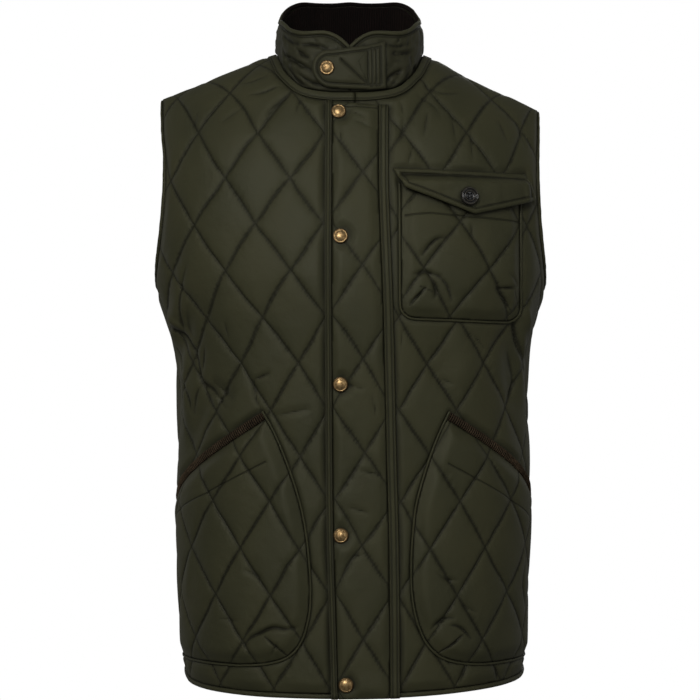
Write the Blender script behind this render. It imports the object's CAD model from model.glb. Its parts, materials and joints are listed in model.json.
# %% [markdown]
# A quilted vest on no wearer
#
# The CAD model holds the vest as plain solids. This lesson gives every one of them the look of cloth.
# Each piece is cut flat, as a maker cuts it, and then laid on the rounded form by one function, so the
# quilting runs on from a panel to its pocket just as it does on the real vest.

import json
import math

import bpy
import numpy as np
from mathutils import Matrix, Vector

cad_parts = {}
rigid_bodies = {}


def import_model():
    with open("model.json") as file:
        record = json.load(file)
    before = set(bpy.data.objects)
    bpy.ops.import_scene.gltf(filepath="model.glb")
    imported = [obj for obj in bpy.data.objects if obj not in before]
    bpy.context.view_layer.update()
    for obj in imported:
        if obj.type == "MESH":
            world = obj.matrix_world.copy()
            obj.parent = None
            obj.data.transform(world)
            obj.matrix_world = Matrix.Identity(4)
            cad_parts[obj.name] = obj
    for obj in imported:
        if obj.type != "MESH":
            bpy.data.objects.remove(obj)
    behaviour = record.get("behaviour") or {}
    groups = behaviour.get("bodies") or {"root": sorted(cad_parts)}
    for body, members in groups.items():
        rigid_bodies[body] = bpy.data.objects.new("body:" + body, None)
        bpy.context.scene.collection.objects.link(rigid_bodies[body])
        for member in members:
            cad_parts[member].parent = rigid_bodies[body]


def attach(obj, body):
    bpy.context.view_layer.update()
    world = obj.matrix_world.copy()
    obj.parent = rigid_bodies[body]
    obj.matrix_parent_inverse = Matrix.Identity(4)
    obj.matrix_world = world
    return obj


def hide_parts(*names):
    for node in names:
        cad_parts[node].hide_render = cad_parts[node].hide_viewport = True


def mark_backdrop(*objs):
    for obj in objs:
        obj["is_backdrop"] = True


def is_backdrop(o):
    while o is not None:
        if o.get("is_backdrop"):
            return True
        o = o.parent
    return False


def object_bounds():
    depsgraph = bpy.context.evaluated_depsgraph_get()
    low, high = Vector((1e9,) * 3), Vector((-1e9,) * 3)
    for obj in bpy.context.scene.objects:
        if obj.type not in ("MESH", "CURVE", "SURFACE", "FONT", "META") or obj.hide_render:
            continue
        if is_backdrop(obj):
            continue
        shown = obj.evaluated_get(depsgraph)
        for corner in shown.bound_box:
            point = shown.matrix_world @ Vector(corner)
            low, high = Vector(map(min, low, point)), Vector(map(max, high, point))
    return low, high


for leftover in list(bpy.data.objects):
    bpy.data.objects.remove(leftover)
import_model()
frame_names = {o.name for o in bpy.data.objects}
CAD_BOX = [list(corner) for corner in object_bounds()]
rng = np.random.default_rng(11)
MM = 0.001
print("CAD box in metres:", CAD_BOX)

# %% [markdown]
# The form under the cloth
#
# A garment that stands with nobody in it is easiest to describe as level sections, one table row for each.
# The table is read with a smooth curve, which keeps the outline soft between the rows.

# %% Sizes of the form, in millimetres
SECTION_HEIGHTS = [40, -60, -110, -160, -205, -236, -257, -278, -299, -330, -404, -470, -540, -600, -670]
SECTIONS = {
    "half_width": [199, 201, 204, 207.5, 206, 201.7, 196, 189.2, 183.3, 180, 179.6, 179.6, 177, 174.6, 173.5],
    "front_depth": [74, 89, 104, 114, 121, 124, 124, 123, 122, 121, 120, 121, 124, 126, 127],
    "back_depth": [100, 109, 114, 117, 116, 114, 112, 110, 108, 105, 105, 110, 117, 122, 124],
    "shift": [-1, 0, 1.3, 1, 0.6, 0.6, 0.8, 1.2, 1.7, 2.3, 3.6, 3.8, 3.2, 3.6, 5],
}
SECTION_POWER = 2.4
MEAN_HALF_WIDTH, MEAN_DEPTH = 190, 122
SHOULDER_ACROSS = [0, 50, 76, 95, 120, 145, 172, 204]
SHOULDER_RIGHT = [15, 6, -4, -10, -20.7, -31, -41.3, -53]
SHOULDER_LEFT = [15, 6, -4.5, -13, -27, -39.5, -50.5, -66]
SHOULDER_HALF_WIDTH, NECK_POINT, RIDGE_Y = 201, 76, -8
FRONT = {"sign": -1, "depth": "front_depth", "roll": 90}
BACK = {"sign": 1, "depth": "back_depth", "roll": 140}
RIGHT, LEFT = -1, 1  # the wearer's right is at the viewer's left


def smooth(xs, ys, at):
    """A smooth curve through the points (xs, ys), read at many places at once."""
    xs, ys = np.asarray(xs, float), np.asarray(ys, float)
    if xs[0] > xs[-1]:
        xs, ys = xs[::-1], ys[::-1]
    slopes = np.gradient(ys, xs)
    inner = (ys[2:] - ys[:-2]) / (xs[2:] - xs[:-2])
    slopes[1:-1] = inner
    i = np.clip(np.searchsorted(xs, at) - 1, 0, len(xs) - 2)
    span = xs[i + 1] - xs[i]
    u = np.clip((at - xs[i]) / span, 0, 1)
    ends = (2 * u**3 - 3 * u**2 + 1) * ys[i] + (3 * u**2 - 2 * u**3) * ys[i + 1]
    return ends + span * ((u**3 - 2 * u**2 + u) * slopes[i] + (u**3 - u**2) * slopes[i + 1])


def smoothstep(x, low, high):
    u = np.clip((x - low) / (high - low), 0, 1)
    return u * u * (3 - 2 * u)


# One quarter of the mean section, walked by length: cloth laid round it keeps its width
quarter = np.linspace(0, math.pi / 2, 901)
RING_ACROSS = np.sin(quarter) ** (2 / SECTION_POWER)
RING_FORWARD = np.maximum(np.cos(quarter), 0) ** (2 / SECTION_POWER)
steps = np.hypot(MEAN_HALF_WIDTH * np.diff(RING_ACROSS), MEAN_DEPTH * np.diff(RING_FORWARD))
RING_LENGTH = np.concatenate([[0], np.cumsum(steps)])
SIDE_SEAM = RING_LENGTH[-1]
print(f"side seam {SIDE_SEAM:.1f} mm of cloth from the middle")


# %% [markdown]
# From flat cloth to the form
#
# The letters s and t measure the flat cloth round and up, and n is the distance out from its plain
# inside. Above the chest the cloth rolls over to the shoulder's ridge, so t is measured along that roll.

# %% The mapping from flat to form
def unit_section(s):
    far = np.abs(s)
    past = far > SIDE_SEAM
    inside = np.where(past, 2 * SIDE_SEAM - far, far)
    across = np.interp(inside, RING_LENGTH, RING_ACROSS)
    forward = np.interp(inside, RING_LENGTH, RING_FORWARD)
    return np.sign(s) * across, np.where(past, -forward, forward)


def shoulder_roll(face, s):
    across, forward = unit_section(s)
    x = -face["sign"] * SHOULDER_HALF_WIDTH * across
    right = smooth(SHOULDER_ACROSS, SHOULDER_RIGHT, np.abs(x))
    left = smooth(SHOULDER_ACROSS, SHOULDER_LEFT, np.abs(x))
    start = np.where(x < 0, right, left) - face["roll"]
    depth = smooth(SECTION_HEIGHTS, SECTIONS[face["depth"]], start)
    reach = np.abs(face["sign"] * depth * forward - RIDGE_Y)
    return start, math.pi / 2 * np.sqrt((face["roll"] ** 2 + reach**2) / 2)


def ridge_length(face, s):
    start, length = shoulder_roll(face, s)
    return start + length


def length_at_height(face, s, z):
    start, length = shoulder_roll(face, s)
    share = np.clip((z - start) / face["roll"], 0, 1)
    return np.where(z <= start, z, start + length * np.arcsin(share) / (math.pi / 2))


def form_point(face, s, t):
    start, length = shoulder_roll(face, s)
    turned = np.clip((t - start) / length, 0, 1) * math.pi / 2
    z = np.where(t <= start, t, start + face["roll"] * np.sin(turned))
    across, forward = unit_section(s)
    half_width = smooth(SECTION_HEIGHTS, SECTIONS["half_width"], z)
    depth = smooth(SECTION_HEIGHTS, SECTIONS[face["depth"]], z)
    shift = smooth(SECTION_HEIGHTS, SECTIONS["shift"], z)
    y = RIDGE_Y + (face["sign"] * depth * forward - RIDGE_Y) * np.where(t <= start, 1, np.cos(turned))
    return np.stack([shift - face["sign"] * half_width * across, y, z], -1)


def normal_of(surface, s, t, step=0.5):
    along_s = surface(s + step, t) - surface(s - step, t)
    along_t = surface(s, t + step) - surface(s, t - step)
    n = np.cross(along_s, along_t)
    return n / np.maximum(np.linalg.norm(n, axis=-1, keepdims=True), 1e-9)


# %% [markdown]
# Folds
#
# Soft folds are troughs and ridges with a place, a length, a width and a tilt. Placed by hand from what
# the photo shows, they look more like a real garment than even noise does. The hidden back gets similar ones.

# %% Large folds, the same as the solids have, and the finer creases of the cloth
# around: from the centre front towards the side and on to the back. side: 1 is the wearer's left.
FOLD_COLUMNS = ["side", "around", "height", "length", "width", "tilt", "depth"]
FOLDS = [
    [-1, 205, -283, 34, 9, 42, 4.5], [-1, 190, -296, 34, 11, 50, -4], [-1, 196, -345, 40, 8, 86, 3],
    [-1, 172, -375, 42, 12, 64, -4], [-1, 225, -352, 46, 10, 84, -3.5], [1, 196, -300, 56, 9, 82, 4.5],
    [1, 178, -330, 48, 12, 78, -3.5], [1, 92, -326, 26, 18, 84, -3], [1, 122, -330, 28, 18, 80, 3],
    [1, 228, -350, 50, 10, 86, -3.5], [-1, 330, -330, 62, 16, 70, -5], [1, 345, -345, 62, 16, 72, -5],
    [-1, 420, -380, 70, 18, 82, 4], [1, 435, -365, 66, 18, 80, 4],
]


def fold_height(face, s, t):
    side = np.sign(-face["sign"] * s)
    around = np.abs(s) if face is FRONT else 2 * SIDE_SEAM - np.abs(s)
    total = np.zeros(np.shape(s))
    for row in FOLDS:
        fold = dict(zip(FOLD_COLUMNS, row))
        tilt = math.radians(fold["tilt"])
        du, dv = around - fold["around"], t - fold["height"]
        along = (du * math.cos(tilt) - dv * math.sin(tilt)) / fold["length"]
        off = (du * math.sin(tilt) + dv * math.cos(tilt)) / fold["width"]
        total += np.where(side == fold["side"], fold["depth"] * np.exp(-(along**2) - off**2), 0)
    return total


def cloth_point(face, s, t, n):
    below = np.minimum(t, ridge_length(face, s) - 1)
    normal = normal_of(lambda a, b: form_point(face, a, b), s, below)
    return form_point(face, s, t) + normal * np.asarray(n + fold_height(face, s, t))[..., None]


def on_front(s, t, n):
    return cloth_point(FRONT, s, t, n)


def on_back(s, t, n):
    return cloth_point(BACK, s, t, n)


def seen_from_front(x, z):
    """The cloth's s and t at points of the front given as they are seen from the front."""
    x, z = np.asarray(x, float), np.asarray(z, float)
    half_width = smooth(SECTION_HEIGHTS, SECTIONS["half_width"], z)
    shift = smooth(SECTION_HEIGHTS, SECTIONS["shift"], z)
    share = np.minimum(np.abs(x - shift) / half_width, 1)
    s = np.sign(x - shift) * np.interp(share, RING_ACROSS, RING_LENGTH)
    return np.stack([s, length_at_height(FRONT, s, z)], -1)


def seen_places(points):
    """The same for a list of (across, height) points."""
    return seen_from_front(*np.array(points, float).T)


def seen_from_above(x, y):
    """The cloth's s and t at points of the back given as they are seen from above."""
    x, y = np.asarray(x, float), np.asarray(y, float)
    s = -np.sign(x) * np.interp(np.abs(x) / SHOULDER_HALF_WIDTH, RING_ACROSS, RING_LENGTH)
    low, length = shoulder_roll(BACK, s)
    high = low + length
    for _ in range(30):
        middle = (low + high) / 2
        behind = form_point(BACK, s, middle)[..., 1] > y
        low, high = np.where(behind, middle, low), np.where(behind, high, middle)
    return np.stack([s, low], -1)


# %% [markdown]
# Lines on flat cloth
#
# Every edge, seam and strip starts as a line on the flat cloth. These helpers smooth a few corners into a
# curve, set points along it at even steps and move it sideways.

# %% Helpers for lines
FAR = 50.0  # mm, a distance from a stitch or crease that means there is none


def ring_quads(number):
    """The four-cornered faces between closed rings of numbered points."""
    ahead = np.roll(number, -1, axis=1)
    return np.stack([number[:-1], ahead[:-1], ahead[1:], number[1:]], -1).reshape(-1, 4).tolist()


def lengths_along(line):
    """How far along a line each of its points lies."""
    return np.concatenate([[0], np.cumsum(np.linalg.norm(np.diff(line, axis=0), axis=1))])


def resample(line, step, closed=False):
    line = np.asarray(line, float)
    if closed:
        line = np.vstack([line, line[:1]])
    long = lengths_along(line)
    count = max(2, int(math.ceil(long[-1] / step)))
    at = np.linspace(0, long[-1], count + 1)
    if closed:
        at = at[:-1]
    return np.stack([np.interp(at, long, line[:, k]) for k in range(line.shape[1])], -1)


def smooth_line(points, step):
    """A smooth curve through a few corners, with points along it at even steps."""
    points = np.asarray(points, float)
    long = np.concatenate([[0], np.cumsum(np.linalg.norm(np.diff(points, axis=0), axis=1) ** 0.75)])
    at = np.linspace(0, long[-1], 400)
    dense = np.stack([smooth(long, points[:, k], at) for k in range(2)], -1)
    return resample(dense, step)


def join(*lines):
    points = np.vstack(lines)
    keep = np.concatenate([[True], np.linalg.norm(np.diff(points, axis=0), axis=1) > 0.05])
    return points[keep]


def loop(*lines):
    points = join(*lines)
    while np.linalg.norm(points[0] - points[-1]) <= 0.05:
        points = points[:-1]
    return points


def left_of(line, first=None, last=None):
    """The direction to the left of a line at each of its points."""
    ahead = np.gradient(line, axis=0)
    ahead /= np.maximum(np.linalg.norm(ahead, axis=1, keepdims=True), 1e-9)
    left = np.stack([-ahead[:, 1], ahead[:, 0]], -1)
    if first is not None:
        left[0] = first
    if last is not None:
        left[-1] = last
    return left


def moved(line, distance, first=None, last=None):
    return line + distance * left_of(line, first, last)


def nearest_on(line, points):
    """For each point: its distance to the line, the nearest place on it, and how far along that is."""
    a, b = line[:-1], line[1:]
    ab = b - a
    long = np.maximum((ab**2).sum(1), 1e-9)
    start = np.concatenate([[0], np.cumsum(np.sqrt(long))])[:-1]
    best = np.full(len(points), np.inf)
    spot, run = np.zeros((len(points), 2)), np.zeros(len(points))
    for k in range(len(a)):
        share = np.clip(((points - a[k]) @ ab[k]) / long[k], 0, 1)
        place = a[k] + share[:, None] * ab[k]
        gap = np.hypot(*(points - place).T)
        closer = gap < best
        best[closer], spot[closer] = gap[closer], place[closer]
        run[closer] = start[k] + share[closer] * math.sqrt(long[k])
    return best, spot, run


def inside(outline, points):
    result = np.zeros(len(points), bool)
    a, b = outline, np.roll(outline, 1, axis=0)
    for (a_s, a_t), (b_s, b_t) in zip(a, b):
        if a_t == b_t:
            continue
        crosses = (a_t > points[:, 1]) != (b_t > points[:, 1])
        at = (b_s - a_s) * (points[:, 1] - a_t) / (b_t - a_t) + a_s
        result ^= crosses & (points[:, 0] < at)
    return result


# %% [markdown]
# Quilting
#
# Wadding is sewn between two cloths along crossing lines. Each line pulls the cloth down to a valley, the
# diamonds between them stand up like small pillows, and the thread puckers the cloth across the line.

# %% The quilting and the small unevenness of cloth
PITCH = 2.5  # between the points of the fine cloth
WALL, LOFT, SEAM_GAP = 2.4, 3.0, 0.3
DIAMOND_WIDTH, DIAMOND_HEIGHT = 62.6, 92.8
SIDE_LENGTH = math.hypot(DIAMOND_WIDTH, DIAMOND_HEIGHT)
LINE_SPACING = DIAMOND_WIDTH * DIAMOND_HEIGHT / SIDE_LENGTH
RIGHT_FRONT_QUILT, LEFT_FRONT_QUILT = (-25, -276.8), (48, -276.8)
PLACKET_QUILT, BACK_QUILT, COLLAR_QUILT, CHEST_QUILT = (11, -319.7), (0, -276.8), (0, 30), (37.5, -274.5)
NOISE = rng.standard_normal((256, 256))


def noise(x, y):
    """Smooth random hills about one unit wide, between about -1.5 and 1.5."""
    xi, yi = np.floor(x).astype(int), np.floor(y).astype(int)
    fx, fy = x - xi, y - yi
    fx, fy = fx * fx * (3 - 2 * fx), fy * fy * (3 - 2 * fy)
    at = lambda i, j: NOISE[(xi + i) % 256, (yi + j) % 256]
    low = at(0, 0) * (1 - fx) + at(1, 0) * fx
    high = at(0, 1) * (1 - fx) + at(1, 1) * fx
    return low * (1 - fy) + high * fy


def wavering(s, t):
    """The cloth's places moved a little, so that seams drawn straight on them come out slightly wavy."""
    along = 1.2 * noise(s / 52 + 3, t / 52 + 8) + 0.4 * noise(s / 17, t / 17 + 30)
    up = 1.2 * noise(s / 52 + 70, t / 52 + 60) + 0.4 * noise(s / 17 + 40, t / 17)
    return s + along, t + up


def quilting(s, t, origin):
    """How far the wadding stands up, from 0 on a seam to 1, and the puckers across the seams in mm."""
    s, t = wavering(s, t)
    a, b = (s - origin[0]) / DIAMOND_WIDTH, (t - origin[1]) / DIAMOND_HEIGHT
    rising, falling = a + b, a - b
    off_rising = np.abs(rising - np.round(rising)) * LINE_SPACING
    off_falling = np.abs(falling - np.round(falling)) * LINE_SPACING
    valley = (1 - np.exp(-off_rising / 3.2)) * (1 - np.exp(-off_falling / 3.2))
    dome = np.abs(np.sin(math.pi * rising) * np.sin(math.pi * falling)) ** 0.6
    along_rising, along_falling = falling * SIDE_LENGTH / 2, rising * SIDE_LENGTH / 2
    pucker = noise(along_rising / 4.2 + 31, np.round(rising) * 7 + off_rising / 30)
    pucker = pucker * np.exp(-off_rising / 7) * (1 - np.exp(-off_rising / 1.5))
    other = noise(along_falling / 4.2 + 77, np.round(falling) * 5 + 40 + off_falling / 30)
    pucker += other * np.exp(-off_falling / 7) * (1 - np.exp(-off_falling / 1.5))
    return 0.62 * valley + 0.38 * dome, 0.2 * pucker


def unevenness(s, t):
    return 0.55 * noise(s / 34 + 9, t / 47 + 3) + 0.22 * noise(s / 13 + 50, t / 17 + 20)


# %% [markdown]
# Cutting cloth
#
# A regular net of points is laid on the flat cloth. Squares outside the outline are dropped, and points
# just outside it are pulled onto it, which gives a clean edge without any boolean. The flat place of each
# point is kept as its UV, so weave and stitches are drawn at their true size on every piece.

# %% Helpers that build meshes
FOLD_REACH = 12  # mm round a crease in which its distance is measured
EDGE_DROP, EDGE_ROUND = 0.7, 2.6  # a cut edge is rounded down by so much, over so much cloth


def make_object(name, points, faces, uv, inner=None, stitch=None, fold=None):
    """A smooth mesh of points in millimetres, with its flat places as a UV map."""
    mesh = bpy.data.meshes.new(name)
    mesh.from_pydata((np.asarray(points) * MM).tolist(), [], [list(map(int, f)) for f in faces])
    corner = np.zeros(len(mesh.loops), int)
    mesh.loops.foreach_get("vertex_index", corner)
    layer = mesh.uv_layers.new(name="flat")
    layer.data.foreach_set("uv", (np.asarray(uv) * MM)[corner].ravel())
    if stitch is not None:
        mesh.attributes.new("stitch", "FLOAT", "POINT").data.foreach_set("value", stitch)
    if fold is not None:
        mesh.attributes.new("fold", "FLOAT", "POINT").data.foreach_set("value", fold)
    mesh.polygons.foreach_set("use_smooth", [True] * len(mesh.polygons))
    if inner is not None:
        mesh.polygons.foreach_set("material_index", np.asarray(inner, int))
    mesh.update()
    obj = bpy.data.objects.new(name, mesh)
    bpy.context.collection.objects.link(obj)
    return obj


def cut_cloth(name, outline, place, origin, low, high, pitch=PITCH, stitch=None, creases=()):
    """A piece cut by its outline. low and high give its two faces from s, t and the distance to its edge."""
    outline = np.asarray(outline, float)
    closed = np.vstack([outline, outline[:1]])
    first, last = outline.min(0) - pitch, outline.max(0) + pitch
    s_line, t_line = np.arange(first[0], last[0] + pitch, pitch), np.arange(first[1], last[1] + pitch, pitch)
    grid = np.stack(np.meshgrid(s_line, t_line), -1)
    rows, columns = grid.shape[:2]
    points = grid.reshape(-1, 2).copy()
    within = inside(outline, points)
    edge, spot, _ = nearest_on(closed, points)
    snap = ~within | (edge < 0.3 * pitch)
    number = np.arange(rows * columns).reshape(rows, columns)
    quads = np.stack([number[:-1, :-1], number[:-1, 1:], number[1:, 1:], number[1:, :-1]], -1).reshape(-1, 4)
    quads = quads[(within & ~snap)[quads].any(1)]
    points[snap], edge[snap] = spot[snap], 0
    used, quads = np.unique(quads, return_inverse=True)
    quads = quads.reshape(-1, 4)
    points, edge = points[used], edge[used]
    s, t = points.T
    top = high(s, t, edge) - EDGE_DROP * (1 - smoothstep(edge, 0, EDGE_ROUND))
    bottom = np.broadcast_to(low(s, t, edge), s.shape)
    count = len(used)
    # The rim closes the two faces wherever a square has no neighbour
    sides = np.stack([quads, np.roll(quads, -1, axis=1)], -1).reshape(-1, 2)
    key = np.sort(sides, axis=1) @ [count, 1]
    _, where, times = np.unique(key, return_index=True, return_counts=True)
    a, b = sides[where[times == 1]].T
    rim = np.stack([b, a, a + count, b + count], -1)
    faces = np.vstack([quads, quads[:, ::-1] + count, rim])
    solid = np.vstack([place(s, t, top), place(s, t, bottom)])
    uv = np.tile(np.stack(wavering(s, t), -1) - origin, (2, 1))
    lining = np.concatenate([np.zeros(len(quads)), np.ones(len(quads)), np.zeros(len(rim))])
    seams = np.full(count, FAR) if stitch is None else stitch(s, t, edge)
    fold = to_fold(s, t, creases)
    return make_object(name, solid, faces, uv, lining, np.tile(seams, 2), np.tile(fold, 2))


def to_fold(s, t, creases):
    """How far each point is from the nearest trough's line, in mm.

    The distance grows towards the line's ends and for a shallow trough, so that the dark line fades there.
    """
    points, nearest = np.stack([s, t], -1), np.full(len(s), FAR)
    for line, _, depth in creases:
        near = ((points > line.min(0) - FOLD_REACH) & (points < line.max(0) + FOLD_REACH)).all(1)
        if depth < 0 and near.any():
            away, _, run = nearest_on(line, points[near])
            share = np.clip(run / lengths_along(line)[-1], 0, 1)
            faint = 2.5 * (1 - np.sin(math.pi * share) ** 0.7) + 0.5 * max(0, 1.4 + depth)
            nearest[near] = np.minimum(nearest[near], away + faint)
    return nearest


def strip(name, line, profile, place, closed=False, first=None, last=None, ripple=0.12, step=None):
    """A band along a line of the cloth. Each profile corner is a distance to its left and one out."""
    line = resample(line, step or PITCH)
    profile = np.asarray(profile, float)
    side = left_of(line, first, last)
    run = lengths_along(line)
    s = line[:, None, 0] + profile[None, :, 0] * side[:, None, 0]
    t = line[:, None, 1] + profile[None, :, 0] * side[:, None, 1]
    n = profile[None, :, 1] + ripple * noise(run / 6, run / 90)[:, None] * (profile[None, :, 1] > 1)
    return rings_to_object(name, place(s, t, n), run, closed)


def rings_to_object(name, rings, run, closed=False, seam=None):
    """A closed skin over rings of points at run. seam is how far each corner is off the stitches."""
    count, around = rings.shape[:2]
    number = np.arange(count * around).reshape(count, around)
    ahead = np.roll(number, -1, axis=0) if closed else number[1:]
    here = number if closed else number[:-1]
    quads = np.stack([here, np.roll(here, -1, 1), np.roll(ahead, -1, 1), ahead], -1).reshape(-1, 4)
    faces = [list(q) for q in quads]
    if not closed:
        faces += [list(number[0][::-1]), list(number[-1])]
    girth = lengths_along(rings[0])
    uv = np.stack(np.broadcast_arrays(np.asarray(run)[:, None], girth[None, :]), -1).reshape(-1, 2)
    points = rings.reshape(-1, 3)
    corners = points[quads]
    volume = np.einsum("ij,ij->i", corners[:, 0], np.cross(corners[:, 1], corners[:, 2])).sum()
    volume += np.einsum("ij,ij->i", corners[:, 0], np.cross(corners[:, 2], corners[:, 3])).sum()
    if volume < 0:
        faces = [f[::-1] for f in faces]
    stitch = None if seam is None else np.tile(np.asarray(seam, float), count)
    return make_object(name, points, faces, uv, stitch=stitch)


def cord(centre, radius, low, count=10):
    turn = np.linspace(0, 2 * math.pi, count, endpoint=False)
    return np.stack([centre + radius * np.cos(turn), low + radius * (1 + np.sin(turn))], -1)


# %% [markdown]
# The pattern
#
# These are the outlines that a maker would chalk on the cloth: hem, armholes, neckline, shoulders, placket
# and pockets. They use the same sizes as the solids, so every fine piece stays on its own solid.

# %% Lines of the body
HEM_HEIGHT, BINDING_WIDTH, BINDING_THICKNESS, CENTRE_FRONT = -657.5, 5, 4, 5
HEM_AROUND = [-1, -0.8, -0.5, -0.2, 0, 0.25, 0.5, 0.8, 1]
HEM_RISE = [14, 5, 1, 0, 0, 1.5, 4.5, 9, 14]
ARMHOLE_HEIGHTS = [-243, -241, -232, -214, -187, -150, -112, -84]
ARMHOLE_INSETS = [0, 12, 27, 43, 55, 60, 55, 46]
ARMHOLE_TOP_INSET = 34
NECK_X, NECK_Z = [0, 20, 40, 50, 58, 66, 73], [-49.3, -49, -46.3, -42.3, -35, -25, -9]
NAPE_X, NAPE_Y = [0, 20, 41, 61, 72.5], [57, 55, 49, 36, 16]


def hem_height(s):
    return HEM_HEIGHT + smooth(HEM_AROUND, HEM_RISE, np.asarray(s) / SIDE_SEAM)


def hem_line(start, end):
    s = np.linspace(start, end, 80)
    return np.stack([s, hem_height(s)], -1)


def armhole_line(face, side):
    turn = -face["sign"] * side
    s = turn * (SIDE_SEAM - np.array([*ARMHOLE_INSETS, ARMHOLE_TOP_INSET], float))
    t = length_at_height(face, s[:-1], np.array(ARMHOLE_HEIGHTS, float))
    return smooth_line(np.stack([s, np.append(t, ridge_length(face, s[-1:]))], -1), 4)


def neck_line(face, side):
    if face is FRONT:
        rows = seen_from_front(side * np.array(NECK_X, float), NECK_Z)
    else:
        rows = seen_from_above(side * np.array(NAPE_X, float), NAPE_Y)
    rows[0, 0] = 0
    s = -face["sign"] * side * np.interp(NECK_POINT / SHOULDER_HALF_WIDTH, RING_ACROSS, RING_LENGTH)
    top = ridge_length(face, np.array([s]))[0]
    return smooth_line(np.vstack([rows, [s, top]]), 3)


def shoulder_line(face, start, end):
    s = np.linspace(start, end, 60)
    return np.stack([s, ridge_length(face, s) - 0.05], -1)


armholes = {(f["sign"], side): armhole_line(f, side) for f in (FRONT, BACK) for side in (RIGHT, LEFT)}
necks = {(f["sign"], side): neck_line(f, side) for f in (FRONT, BACK) for side in (RIGHT, LEFT)}


def armhole_edge(line):
    inward = -np.sign(line[0, 0])
    edge = moved(line, -inward * BINDING_WIDTH, last=[-1, 0])
    return edge[:-1][np.abs(edge[:-1, 0]) < SIDE_SEAM - 1]


def front_outline(side):
    near, seam = CENTRE_FRONT + side * 0.2, side * SIDE_SEAM
    arm, neck = armholes[-1, side], necks[-1, side]
    hem = hem_line(near, seam) + [0, BINDING_WIDTH]
    neck_in = neck[side * neck[:, 0] > max(side * near, 0) + 0.5][::-1][1:]
    top = neck[0, 1]
    close = [[0, top], [near, top]] if side == RIGHT else [[near, top]]
    tip = arm[-1, 0] - side * BINDING_WIDTH
    shoulder = shoulder_line(FRONT, tip, neck[-1, 0])
    return loop(hem, [[seam, arm[0, 1] - BINDING_WIDTH]], armhole_edge(arm), shoulder, neck_in, close)


def back_half(side):
    arm, neck = armholes[1, side], necks[1, side]
    tip = arm[-1, 0] - np.sign(arm[0, 0]) * BINDING_WIDTH
    start = [[-side * SIDE_SEAM, arm[0, 1] - BINDING_WIDTH]]
    return join(start, armhole_edge(arm), shoulder_line(BACK, tip, neck[-1, 0]), neck[::-1][1:])


def back_outline():
    hem = hem_line(-SIDE_SEAM, SIDE_SEAM) + [0, BINDING_WIDTH]
    return loop(hem, back_half(RIGHT), back_half(LEFT)[::-1][1:])


# %% Lines of the placket and the pockets
PLACKET_TOP, PLACKET_ROLL, PLACKET_STRIP, PLACKET_FALL = -58.8, 6.5, 9.5, 5
PLACKET_HEIGHTS = [-58.8, -150, -250, -330, -420, -500, -600, -670]
PLACKET_LEFT = [-24.5, -25, -25, -24.5, -24, -23, -20, -18]
PLACKET_RIGHT = [38.5, 38.5, 42, 44, 46, 48, 49, 49]
CHEST = {"left": 51, "right": 169.6, "top": -143, "bottom": -277, "corner": 13, "slant": -3}
MOUTH_SLOPE, TRIM_WIDTH = 0.585, 8.5
POCKET_HEIGHTS = [-372, -390, -415, -440, -465, -490, -520, -550, -572, -590, -603, -613, -619, -623, -625]
POCKET_EDGE = {
    RIGHT: [88, 78, 67, 58, 50.5, 45.5, 42, 40.5, 41.5, 45.5, 51, 59.5, 70.5, 88, 110],
    LEFT: [100, 91.5, 81.5, 73.5, 67, 64, 62, 62.5, 65.5, 71, 77.5, 87, 98, 114, 132],
}


def placket_edge(xs, inward):
    z = np.linspace(PLACKET_TOP - (PLACKET_FALL if xs is PLACKET_RIGHT else 0), HEM_HEIGHT, 120)
    line = seen_from_front(smooth(PLACKET_HEIGHTS, xs, z) + inward, z)
    line[:, 1] = np.maximum(line[:, 1], hem_height(line[:, 0]))
    return line


def hand_pocket(side):
    """The sewn edge, the mouth, the outline of the pocket's wall and all that the pocket covers."""
    inner = smooth_line(np.stack([side * np.array(POCKET_EDGE[side], float), POCKET_HEIGHTS], -1), 3)
    edge = seen_from_front(inner[:, 0], inner[:, 1])
    end = side * (SIDE_SEAM - 0.3)
    sewn = join(edge, [[end, POCKET_HEIGHTS[-1]]])
    rise = (TRIM_WIDTH + SEAM_GAP) * math.hypot(1, MOUTH_SLOPE)
    mouth_at = lambda s: POCKET_HEIGHTS[0] - rise - MOUTH_SLOPE * side * (s - edge[0, 0])
    above = sewn[:, 1] - mouth_at(sewn[:, 0])
    k = int(np.argmax(above < 0))
    part = above[k - 1] / (above[k - 1] - above[k])
    start = sewn[k - 1] + part * (sewn[k] - sewn[k - 1])
    mouth = np.array([start, [end, mouth_at(end)]])
    cover = loop(sewn, [[end, mouth_at(end) + rise], [edge[0, 0], POCKET_HEIGHTS[0]]])
    wall = loop([start], sewn[k:], mouth[::-1])
    return {"side": side, "sewn": sewn, "mouth": mouth, "outline": wall, "cover": cover}


def chest_pocket_line():
    c = CHEST
    slant = lambda x: c["bottom"] + c["slant"] * (x - c["left"]) / (c["right"] - c["left"])
    turn = np.linspace(0, math.pi / 2, 7)
    r = c["corner"]
    left = np.stack([c["left"] + r * (1 - np.cos(turn)), slant(c["left"]) + r * (1 - np.sin(turn))], -1)
    right = np.stack([c["right"] - r * (1 - np.sin(turn)), slant(c["right"]) + r * (1 - np.cos(turn))], -1)
    corners = np.vstack([[[c["left"], c["top"]]], left, right, [[c["right"], c["top"]]]])
    corners = resample(corners, 6)
    return seen_from_front(corners[:, 0], corners[:, 1])


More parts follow.
